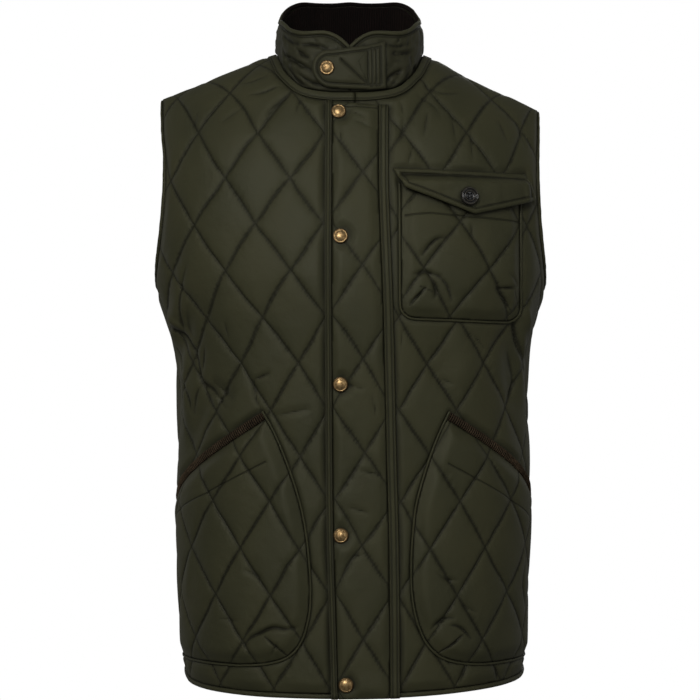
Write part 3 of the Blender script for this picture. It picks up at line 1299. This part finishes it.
def seat(points, place, s, t, n):
    """Points made flat, with z out, are set on the cloth at s, t and n."""
    at = lambda a, b, c: place(np.array([a]), np.array([b]), np.array([c]))[0]
    foot, out = at(s, t, n), at(s, t, n + 10) - at(s, t, n)
    out /= np.linalg.norm(out)
    right = at(s + 1, t, n) - foot
    right -= out * (right @ out)
    right /= np.linalg.norm(right)
    up = np.cross(out, right)
    return foot + points @ np.stack([right, up, out])


def turned(name, profile, place, s, t, n, sides=40):
    """A solid turned from (radius, height) points, closed at both ends on its axis."""
    angle = np.linspace(0, 2 * math.pi, sides, endpoint=False)
    profile = np.array(profile, float)
    middle = profile[1:-1]
    rings = np.stack([middle[:, None, 0] * np.cos(angle), middle[:, None, 0] * np.sin(angle),
                      np.broadcast_to(middle[:, None, 1], (len(middle), sides))], -1)
    points = np.vstack([rings.reshape(-1, 3), [[0, 0, profile[0, 1]], [0, 0, profile[-1, 1]]]])
    number = np.arange(len(middle) * sides).reshape(len(middle), sides)
    faces = ring_quads(number)
    base, tip = len(points) - 2, len(points) - 1
    for k in range(sides):
        faces.append([int(number[0, (k + 1) % sides]), int(number[0, k]), base])
        faces.append([int(number[-1, k]), int(number[-1, (k + 1) % sides]), tip])
    uv = points[:, :2]
    return make_object(name, seat(points, place, s, t, n), faces, uv)


# The cap's section: radius and height
CAP = [(0, 0), (6.6, 0), (7.5, 0.6), (7.6, 1.1), (7.2, 1.7), (6.5, 1.95), (6.0, 1.75), (5.7, 1.7), (5.3, 2.0),
       (4.4, 2.55), (3.2, 3.0), (1.8, 3.3), (0.8, 3.38), (0, 3.4)]
studs = {}
for k, (s, t) in enumerate(snap_places):
    low = float(placket_low(np.array(t))) + WALL + 0.1
    studs[f"snap_{k + 1}"] = turned(f"stud_{k + 1}", CAP, on_front, s, t, low)
studs["snap_collar"] = turned("stud_collar", CAP, on_collar, COLLAR_HALF - 22.3, 23.5, TAB_LOW + 2.2)

BUTTON = {"radius": 9.3, "x": 115.5, "z": -158, "hole": 1.15, "hole_off": 1.63, "ring": 5.3}


def button_height(x, y):
    r = np.hypot(x, y)
    rim = 3.6 - 1.6 * smoothstep(r, 8.2, 9.3) - 1.8 * smoothstep(-r, -7.9, -6.9)
    rim = rim + 1.4 * np.exp(-(((r - BUTTON["ring"]) / 0.8) ** 2))
    places = (-BUTTON["hole_off"], BUTTON["hole_off"])
    holes = [np.hypot(x - a, y - b) for a in places for b in places]
    near = np.min(holes, axis=0)
    return rim - 1.7 * (1 - smoothstep(near, BUTTON["hole"] * 0.75, BUTTON["hole"] * 1.15))


def make_button():
    rows, sides = 34, 72
    radius = np.linspace(0, BUTTON["radius"], rows + 1)[1:]
    angle = np.linspace(0, 2 * math.pi, sides, endpoint=False)
    x, y = radius[:, None] * np.cos(angle), radius[:, None] * np.sin(angle)
    top = np.stack([x, y, button_height(x, y)], -1)
    side_ring = np.stack([x[-1], y[-1], np.full(sides, 1.2)], -1)
    foot_ring = np.stack([0.85 * x[-1], 0.85 * y[-1], np.zeros(sides)], -1)
    rings = np.concatenate([top, side_ring[None], foot_ring[None]])
    points = np.vstack([rings.reshape(-1, 3), [[0, 0, button_height(0, 0)], [0, 0, 0]]])
    number = np.arange(len(rings) * sides).reshape(len(rings), sides)
    ahead = np.roll(number, -1, axis=1)
    faces = np.stack([number[:-1], number[1:], ahead[1:], ahead[:-1]], -1).reshape(-1, 4).tolist()
    for k in range(sides):
        j = (k + 1) % sides
        faces.append([int(number[0, k]), int(number[0, j]), len(points) - 2])
        faces.append([int(number[-1, j]), int(number[-1, k]), len(points) - 1])
    s, t = seen_from_front(np.array([BUTTON["x"]]), np.array([BUTTON["z"]]))[0]
    low = flap_low(np.array([s]), np.array([t]))[0] + 2.9
    button = make_object("button_disc", seat(points, on_front, s, t, low), faces, points[:, :2])
    threads = []
    for k, b in enumerate((-BUTTON["hole_off"], BUTTON["hole_off"])):
        turn = np.linspace(0, math.pi, 9)
        spine = np.stack([-BUTTON["hole_off"] * np.cos(turn), np.full(9, b), 1.2 + 1.5 * np.sin(turn)], -1)
        round_ = np.linspace(0, 2 * math.pi, 8, endpoint=False)
        tube = spine[:, None] + 0.42 * np.stack([0 * round_, np.cos(round_), np.sin(round_)], -1)[None]
        tube = seat(tube.reshape(-1, 3), on_front, s, t, low).reshape(9, 8, 3)
        threads.append(rings_to_object(f"button_thread_{k + 1}", tube, np.arange(9.0)))
    return button, threads


button, threads = make_button()
made = [o for o in bpy.data.objects if o.type == "MESH" and o.name not in frame_names]
print("made", len(made), "fine pieces")

# %% [markdown]
# Finishes
#
# All finishes are built from numbers: weave, wrinkles, seams and thread are drawn from each piece's flat
# coordinates, so they follow the cloth. A small helper keeps each chain of nodes short to read.

# %% Helpers for finishes
class Finish:
    """A material and short ways to add nodes to it."""

    def __init__(self, name):
        self.material = bpy.data.materials.new(name)
        self.material.use_nodes = True
        self.nodes, self.links = self.material.node_tree.nodes, self.material.node_tree.links
        self.shader = self.nodes["Principled BSDF"]

    def put(self, socket, value):
        if isinstance(value, bpy.types.NodeSocket):
            self.links.new(value, socket)
        elif value is not None:
            socket.default_value = value

    def node(self, kind, inputs=(), **settings):
        node = self.nodes.new(kind)
        for key, value in settings.items():
            setattr(node, key, value)
        for key, value in dict(inputs).items():
            self.put(node.inputs[key], value)
        return node

    def math(self, operation, a, b=None, c=None, clamp=False):
        node = self.node("ShaderNodeMath", {0: a, 1: b, 2: c}, operation=operation, use_clamp=clamp)
        return node.outputs[0]

    def ramp(self, value, low, high, to_low=0.0, to_high=1.0):
        inputs = {"Value": value, "From Min": low, "From Max": high, "To Min": to_low, "To Max": to_high}
        return self.node("ShaderNodeMapRange", inputs, interpolation_type="SMOOTHSTEP").outputs[0]

    def mix(self, share, a, b):
        node = self.node("ShaderNodeMix", {0: share}, data_type="RGBA")
        self.put(node.inputs[6], a)
        self.put(node.inputs[7], b)
        return node.outputs[2]

    def flat_place(self):
        uv = self.node("ShaderNodeUVMap", uv_map="flat").outputs[0]
        parts = self.node("ShaderNodeSeparateXYZ", {0: uv})
        return uv, parts.outputs[0], parts.outputs[1]

    def from_middle(self):
        """How far each place lies from the middle of its piece, in metres."""
        uv = self.flat_place()[0]
        return self.node("ShaderNodeVectorMath", {0: uv}, operation="LENGTH").outputs["Value"]

    def noise(self, vector, scale, detail=3.0, roughness=0.55):
        inputs = {"Vector": vector, "Scale": scale, "Detail": detail, "Roughness": roughness}
        return self.node("ShaderNodeTexNoise", inputs).outputs[0]

    def stretched(self, vector, scale, turn=0.0):
        inputs = {"Vector": vector, "Scale": scale, "Rotation": (0, 0, turn)}
        return self.node("ShaderNodeMapping", inputs).outputs[0]

    def bump(self, height, distance, strength=1.0, normal=None):
        inputs = {"Height": height, "Distance": distance, "Strength": strength}
        node = self.node("ShaderNodeBump", inputs)
        if normal is not None:
            self.put(node.inputs["Normal"], normal)
        return node.outputs[0]

    def close(self, colour, roughness, normal, **extra):
        self.put(self.shader.inputs["Base Color"], colour)
        self.put(self.shader.inputs["Roughness"], roughness)
        self.put(self.shader.inputs["Normal"], normal)
        for key, value in extra.items():
            self.put(self.shader.inputs[key.replace("_", " ")], value)
        return self.material


def linear(red, green, blue):
    return tuple(((c / 255 + 0.055) / 1.055) ** 2.4 for c in (red, green, blue)) + (1.0,)


# %% [markdown]
# The olive cloth
#
# A close plain weave with a slight sheen. Near a quilting line the cloth is drawn into short wrinkles that
# run away from the stitches. They are too fine for the mesh, so the bump carries them.

# %% Olive cloth, plain and quilted
OLIVE, OLIVE_LIT, THREAD, DEEP = (49, 49, 32), (56, 55, 36), (39, 40, 26), (15, 15, 8)


WRINKLE_WIDTH, WRINKLE_LENGTH, WRINKLE_FADE = 6.5, 14.0, 4.0  # mm, at the quilting lines
STITCH_LENGTH, TOPSTITCH_LENGTH = 3.0, 3.4  # mm


def quilting_nodes(f, u, v):
    """Wrinkles beside the quilting lines, the valleys along them and the thread in them."""
    across = f.math("DIVIDE", u, DIAMOND_WIDTH * MM)
    up = f.math("DIVIDE", v, DIAMOND_HEIGHT * MM)
    wrinkles, valleys, threads = [], [], []
    for turn_by, other_by in (("ADD", "SUBTRACT"), ("SUBTRACT", "ADD")):
        turn, other = f.math(turn_by, across, up), f.math(other_by, across, up)
        number = f.math("ROUND", turn)
        off = f.math("MULTIPLY", f.math("ABSOLUTE", f.math("SUBTRACT", turn, number)), LINE_SPACING)
        along = f.math("MULTIPLY", other, SIDE_LENGTH / 2)
        inputs = {0: f.math("DIVIDE", along, WRINKLE_WIDTH), 1: f.math("DIVIDE", off, WRINKLE_LENGTH),
                  2: f.math("MULTIPLY", number, 7.3)}
        ruck = f.noise(f.node("ShaderNodeCombineXYZ", inputs).outputs[0], 1, 3, 0.5)
        fade = f.math("POWER", 2.718, f.math("DIVIDE", off, -WRINKLE_FADE))
        wrinkles.append(f.math("MULTIPLY", f.math("SUBTRACT", ruck, 0.5), fade))
        valleys.append(f.math("MULTIPLY", f.ramp(off, 0.2, 1.2, 0.3, 1.0), f.ramp(off, 0.0, 3.6, 0.72, 1.0)))
        dash = f.math("FRACT", f.math("DIVIDE", along, STITCH_LENGTH))
        threads.append(f.math("MULTIPLY", f.ramp(off, 0.75, 0.35), f.math("LESS_THAN", dash, 0.72)))
    return f.math("ADD", *wrinkles), f.math("MULTIPLY", *valleys), f.math("MAXIMUM", *threads)


def cloth_finish(name, quilted, stitched=True, tone=1.0, folded=False):
    f = Finish(name)
    colours = [linear(*(tone * c for c in rgb)) for rgb in (OLIVE, OLIVE_LIT, THREAD, DEEP)]
    olive, olive_lit, thread, deep = colours
    uv, u, v = f.flat_place()
    wide = f.noise(f.stretched(uv, (1, 0.8, 1)), 14, 3)
    shade = f.mix(f.ramp(wide, 0.3, 0.7), olive, olive_lit)
    fleck = f.noise(f.stretched(uv, (1, 1, 1)), 1400, 1)
    shade = f.mix(f.math("MULTIPLY", fleck, 0.25), shade, thread)
    slub_a = f.noise(f.stretched(uv, (160, 2400, 1)), 1, 1)
    slub_b = f.noise(f.stretched(uv, (2400, 160, 1)), 1, 1)
    weave = f.math("ADD", slub_a, slub_b)
    crumple = f.noise(uv, 62, 3, 0.5)
    normal = f.bump(crumple, 0.0014, 0.6)
    curved = f.node("ShaderNodeNewGeometry").outputs["Pointiness"]
    shade = f.mix(f.ramp(curved, 0.5, 0.465, 0, 0.75), shade, deep)
    open_air = f.node("ShaderNodeAmbientOcclusion", {"Distance": 0.016}, samples=4).outputs["AO"]
    shade = f.mix(f.ramp(open_air, 0.95, 0.5, 0, 0.9), shade, deep)
    dark = None
    if quilted:
        ruffle, valley, dark = quilting_nodes(f, u, v)
        normal = f.bump(ruffle, 0.0018, 1.0, normal)
        normal = f.bump(valley, 0.0007, 0.8, normal)
        shade = f.mix(f.math("SUBTRACT", 1.0, valley), shade, deep)
    if quilted or folded:
        to_line = f.node("ShaderNodeAttribute", attribute_name="fold").outputs["Fac"]
        core, side = f.ramp(to_line, 0.0, 1.2, 0.5, 1.0), f.ramp(to_line, 0.0, 2.6, 0.8, 1.0)
        pressed_in = f.math("MULTIPLY", core, side)
        normal = f.bump(pressed_in, 0.0012, 1.0, normal)
        shade = f.mix(f.math("SUBTRACT", 1.0, pressed_in), shade, deep)
    if stitched:
        away = f.math("ABSOLUTE", f.node("ShaderNodeAttribute", attribute_name="stitch").outputs["Fac"])
        dash = f.math("FRACT", f.math("DIVIDE", f.math("ADD", u, v), TOPSTITCH_LENGTH * MM))
        on = f.math("MULTIPLY", f.ramp(away, 0.55, 0.25), f.math("LESS_THAN", dash, 0.7))
        groove = f.ramp(away, 0.0, 1.5)
        normal = f.bump(groove, 0.0006, 0.9, normal)
        shade = f.mix(f.math("MULTIPLY", f.math("SUBTRACT", 1.0, groove), 0.75), shade, deep)
        dark = on if dark is None else f.math("MAXIMUM", dark, on)
    if dark is not None:
        shade = f.mix(f.math("MULTIPLY", dark, 0.2), shade, olive)
    normal = f.bump(weave, 0.00012, 0.35, normal)
    rough = f.ramp(wide, 0.3, 0.7, 0.56, 0.66)
    return f.close(shade, rough, normal, Specular_IOR_Level=0.24, Specular_Tint=(1.0, 0.98, 0.78, 1),
                   Sheen_Weight=0.04, Sheen_Roughness=0.4, Sheen_Tint=(0.7, 0.7, 0.5, 1))


olive_quilted = cloth_finish("olive quilted cloth", True)
olive_plain = cloth_finish("olive cloth", False)
olive_binding = cloth_finish("olive binding", False, stitched=False)
olive_collar = cloth_finish("olive collar cloth", False, tone=0.8, folded=True)
olive_tab = cloth_finish("olive tab cloth", False, tone=0.86)

# %% [markdown]
# Corduroy, lining, brass and horn
#
# Corduroy is a soft pile in ribs: its roughness is high and a sheen lightens the ribs' sides. The brass is
# aged, so dark patina gathers in the low places.

# %% The other finishes
def corduroy_finish(name, ribs_along_u, dark, light):
    f = Finish(name)
    uv, u, _ = f.flat_place()
    pile = f.noise(uv, 1700, 2)
    patch = f.noise(uv, 55, 3)
    shade = f.mix(f.ramp(patch, 0.3, 0.75), dark, light)
    shade = f.mix(f.math("MULTIPLY", pile, 0.4), shade, linear(10, 6, 4))
    normal = f.bump(pile, 0.0003, 0.6)
    if ribs_along_u:
        wave = f.math("COSINE", f.math("MULTIPLY", u, 2 * math.pi / (RIB_PITCH * MM)))
        low = f.ramp(wave, -1.0, 0.3)
        normal = f.bump(low, 0.0006, 0.9, normal)
        shade = f.mix(f.math("MULTIPLY", f.math("SUBTRACT", 1.0, low), 0.9), shade, linear(6, 5, 3))
    return f.close(shade, 0.9, normal, Specular_IOR_Level=0.08, Sheen_Weight=0.04, Sheen_Roughness=0.4,
                   Sheen_Tint=(0.5, 0.34, 0.26, 1))


def lining_finish():
    f = Finish("inner cloth")
    uv = f.flat_place()[0]
    wide = f.noise(uv, 20, 3)
    shade = f.mix(wide, linear(22, 22, 15), linear(30, 30, 21))
    normal = f.bump(f.noise(uv, 60, 3), 0.0015, 0.5)
    return f.close(shade, 0.6, normal, Specular_IOR_Level=0.25)


def brass_finish():
    f = Finish("antique brass")
    where = f.node("ShaderNodeTexCoord").outputs["Object"]
    patina = f.noise(where, 420, 4)
    radius = f.from_middle()
    groove = f.ramp(radius, 0.0054, 0.0066)
    shade = f.mix(f.ramp(patina, 0.35, 0.7), linear(180, 151, 106), linear(122, 96, 63))
    shade = f.mix(f.math("MULTIPLY", groove, 0.75), shade, linear(60, 46, 30))
    normal = f.bump(f.noise(where, 900, 3), 0.0001, 0.3)
    return f.close(shade, f.ramp(patina, 0.3, 0.7, 0.34, 0.5), normal, Metallic=1.0)


def horn_finish():
    f = Finish("dark horn")
    where = f.node("ShaderNodeTexCoord").outputs["Object"]
    streak = f.noise(f.stretched(where, (1, 1, 6)), 110, 4)
    shade = f.mix(f.ramp(streak, 0.35, 0.7), linear(3, 3, 3), linear(8, 6, 5))
    radius = f.from_middle()
    inner = f.math("MULTIPLY", f.ramp(radius, 0.0042, 0.0049), f.ramp(radius, 0.0062, 0.0055))
    outer = f.math("MULTIPLY", f.ramp(radius, 0.0069, 0.0076), f.ramp(radius, 0.0091, 0.0085))
    worn = f.math("MAXIMUM", inner, outer)
    shade = f.mix(f.math("MULTIPLY", worn, f.ramp(streak, 0.3, 0.6, 0.5, 1.0)), shade, linear(48, 44, 35))
    return f.close(shade, 0.2, f.bump(streak, 0.0001, 0.5), Specular_IOR_Level=0.5, Coat_Weight=0.3)


corduroy_ribbed = corduroy_finish("corduroy", True, linear(14, 9, 7), linear(21, 13, 11))
corduroy_cut = corduroy_finish("corduroy strip", True, linear(52, 43, 31), linear(78, 65, 49))
inner_cloth, brass, horn = lining_finish(), brass_finish(), horn_finish()


def finish_with(piece, *materials):
    piece.data.materials.clear()
    for material in materials:
        piece.data.materials.append(material)


for piece in (front_right, front_left, back, placket, *pockets.values()):
    finish_with(piece, olive_quilted, inner_cloth)
finish_with(collar, olive_collar, corduroy_ribbed)
finish_with(tab, olive_tab, inner_cloth)
finish_with(flap, olive_plain, inner_cloth)
for piece in (neck_band, placket_rim, placket_band):
    finish_with(piece, olive_plain)
for piece in (*bindings, *hems, *pipings.values()):
    finish_with(piece, olive_binding)
finish_with(collar_lining, corduroy_ribbed, corduroy_ribbed)


def looks_into_neck(piece):
    """1 for each face of the rolled edge that looks into the neck from behind or the side, else 0."""
    count = len(piece.data.polygons)
    centre, normal = np.zeros(3 * count), np.zeros(3 * count)
    piece.data.polygons.foreach_get("center", centre)
    piece.data.polygons.foreach_get("normal", normal)
    centre, normal = centre.reshape(-1, 3) / MM, normal.reshape(-1, 3)
    inward = -(centre[:, 0] * normal[:, 0] + centre[:, 1] * normal[:, 1])
    return ((centre[:, 1] > -12) & (inward > 0)).astype(int)


finish_with(collar_roll, olive_binding, corduroy_ribbed)
collar_roll.data.polygons.foreach_set("material_index", looks_into_neck(collar_roll))
for piece in trims.values():
    finish_with(piece, corduroy_cut)
for piece in studs.values():
    finish_with(piece, brass)
for piece in (button, *threads):
    finish_with(piece, horn)
print("finishes:", len(bpy.data.materials))

# %% [markdown]
# Camera, light and floor
#
# The camera stands level with the middle of the vest, 2.5 m away, with a long lens, as a shop photo is
# taken. One large soft light stands in front and above. Weaker ones at the sides and above fill the shadows,
# and three more light the back. The white round the vest is a dome that only the camera sees.

# %% Studio
scene = bpy.context.scene
lens = bpy.data.cameras.new("camera")
lens.lens, lens.sensor_width, lens.clip_end = 122.45, 36, 50
camera = bpy.data.objects.new("camera", lens)
camera.location, camera.rotation_euler = (0, -2.5, -0.30975), (math.pi / 2, 0, 0)
scene.collection.objects.link(camera)
scene.camera = camera
scene.view_settings.view_transform = "Standard"


def softbox(name, location, aim, size, power, spread):
    lamp = bpy.data.lights.new(name, "AREA")
    lamp.shape, lamp.size, lamp.size_y = "RECTANGLE", *size
    lamp.energy, lamp.spread = power, math.radians(spread)
    obj = bpy.data.objects.new(name, lamp)
    obj.location = location
    obj.rotation_euler = (Vector(aim) - Vector(location)).to_track_quat("-Z", "Y").to_euler()
    scene.collection.objects.link(obj)


# Name, place, aim, size, power in watts and spread in degrees
LAMPS = [
    ("key light", (-0.6, -2.3, 0.75), (-0.02, -0.1, -0.17), (1.2, 1.2), 7.9, 80),
    ("fill light", (1.7, -1.9, 0.1), (0, 0, -0.2), (1.2, 1.6), 6, 180),
    ("top light", (0.1, -0.4, 2.2), (0, 0, -0.2), (1.6, 1.2), 1.5, 180),
    ("back light left", (-1.9, 1.1, 0.2), (0, 0, -0.3), (0.8, 1.8), 3, 180),
    ("back light right", (1.9, 1.1, 0.2), (0, 0, -0.3), (0.8, 1.8), 3, 180),
    ("rear light", (0.3, 2.6, 0.4), (0, 0, -0.3), (1.2, 1.2), 12, 180),
]
for lamp_row in LAMPS:
    softbox(*lamp_row)
world = bpy.data.worlds.new("pale room")
world.use_nodes = True
world.node_tree.nodes["Background"].inputs["Color"].default_value = (1, 1, 1, 1)
world.node_tree.nodes["Background"].inputs["Strength"].default_value = 0.16
scene.world = world


def backdrop_dome(radius=9, rows=12, sides=24):
    """A white dome round the whole studio. It fills the background but adds no light to the cloth."""
    up = np.linspace(-math.pi / 2, math.pi / 2, rows + 1)[:, None]
    turn = np.linspace(0, 2 * math.pi, sides, endpoint=False)[None]
    level = np.cos(up)
    corners = np.stack(np.broadcast_arrays(level * np.cos(turn), level * np.sin(turn), np.sin(up)), -1)
    number = np.arange((rows + 1) * sides).reshape(rows + 1, sides)
    mesh = bpy.data.meshes.new("backdrop")
    mesh.from_pydata((radius * corners.reshape(-1, 3)).tolist(), [], ring_quads(number))
    dome = bpy.data.objects.new("backdrop", mesh)
    scene.collection.objects.link(dome)
    dome.visible_diffuse = dome.visible_glossy = dome.visible_transmission = dome.visible_shadow = False
    white = Finish("backdrop white")
    white.shader.inputs["Base Color"].default_value = (0, 0, 0, 1)
    white.shader.inputs["Specular IOR Level"].default_value = 0
    white.shader.inputs["Emission Color"].default_value = (1, 1, 1, 1)
    white.shader.inputs["Emission Strength"].default_value = 1.0
    mesh.materials.append(white.material)
    return dome


dome = backdrop_dome()
floor_mesh = bpy.data.meshes.new("floor")
FLOOR_HALF, FLOOR_BEHIND, FLOOR_HEIGHT = 4, 1.4, -1.35
floor_sides = ((-FLOOR_HALF, -FLOOR_HALF), (FLOOR_HALF, -FLOOR_HALF), (FLOOR_HALF, FLOOR_BEHIND),
               (-FLOOR_HALF, FLOOR_BEHIND))
floor_mesh.from_pydata([(x, y, FLOOR_HEIGHT) for x, y in floor_sides], [], [(0, 1, 2, 3)])
floor = bpy.data.objects.new("floor", floor_mesh)
scene.collection.objects.link(floor)
pale = Finish("pale floor")
where = pale.node("ShaderNodeTexCoord").outputs["Object"]
tone = pale.mix(pale.noise(where, 3, 3), (0.86, 0.86, 0.86, 1), (0.92, 0.92, 0.92, 1))
finish_with(floor, pale.close(tone, 0.8, None, Emission_Color=(1, 1, 1, 1), Emission_Strength=0.5))
floor.visible_diffuse = floor.visible_glossy = False
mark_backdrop(floor, dome)

# %% [markdown]
# What each piece stands for
#
# Every fine piece takes the place of a plain solid and rides with the vest's one body. Each cut piece of cloth
# is declared with its flat size, measured on the pattern lines above, and with the strips sewn to it.

# %% Declarations
def belongs(piece, slot, *nodes):
    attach(piece, "root")
    if nodes:
        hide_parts(*nodes)
    return piece


def declare(piece, outline, rests_on, slot, *nodes, with_pieces=()):
    belongs(piece, slot, *nodes)


declare(front_right, outlines["right front"], ["collar", "back"], "quilted_cloth", "front_right",
        with_pieces=[bindings[0], hems[0]])
declare(front_left, outlines["left front"], ["collar", "back"], "quilted_cloth", "front_left",
        with_pieces=[bindings[1], hems[1]])
declare(back, outlines["back"], ["collar"], "quilted_cloth", "back", with_pieces=[hems[2], neck_band])
declare(collar, collar_outline, ["back"], "quilted_cloth", "collar", with_pieces=[collar_roll])
declare(collar_lining, lining_outline, ["collar"], "corduroy", "collar_lining")
declare(tab, tab_outline(), ["collar"], "quilted_cloth", "collar_tab")
declare(placket, placket_body, ["front_right"], "quilted_cloth", "placket",
        with_pieces=[placket_rim, placket_band])
for name, pocket in hand_pockets.items():
    panel_name = "front_right" if pocket["side"] == RIGHT else "front_left"
    declare(pockets[name], pocket["outline"], [panel_name], "quilted_cloth", name,
            with_pieces=[pipings[name], trims[name]])
    belongs(pipings[name], "quilted_cloth", name + "_piping")
    belongs(trims[name], "corduroy", name + "_trim")
declare(pockets["chest_pocket"], chest_pocket, ["front_left"], "quilted_cloth", "chest_pocket",
        with_pieces=[pipings["chest_pocket"]])
belongs(pipings["chest_pocket"], "quilted_cloth", "chest_pocket_piping")
declare(flap, flap_loop, ["front_left"], "quilted_cloth", "chest_flap")
for piece, node in zip(bindings + hems, ("armhole_binding_right", "armhole_binding_left", "hem_binding_right",
                                         "hem_binding_left", "hem_binding_back")):
    belongs(piece, "quilted_cloth", node)
for piece, node in ((neck_band, "neck_band"), (collar_roll, "collar_edge"), (placket_rim, "placket_edge"),
                    (placket_band, "placket_strip")):
    belongs(piece, "quilted_cloth", node)
for node, piece in studs.items():
    belongs(piece, "brass", node)
belongs(button, "button", "chest_button")
for thread in threads:
    belongs(thread, "button")

# %% [markdown]
# The last check
#
# The finished pieces must stay within the solids' box, give or take a few millimetres. Both boxes are
# written down so that they can be compared.

# %% Sizes and finish
visual_box = [list(corner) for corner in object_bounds()]
for axis in range(3):
    cad = CAD_BOX[1][axis] - CAD_BOX[0][axis]
    shown = visual_box[1][axis] - visual_box[0][axis]
    print("XYZ"[axis], f"solid {cad * 1000:.1f} mm, shown {shown * 1000:.1f} mm")
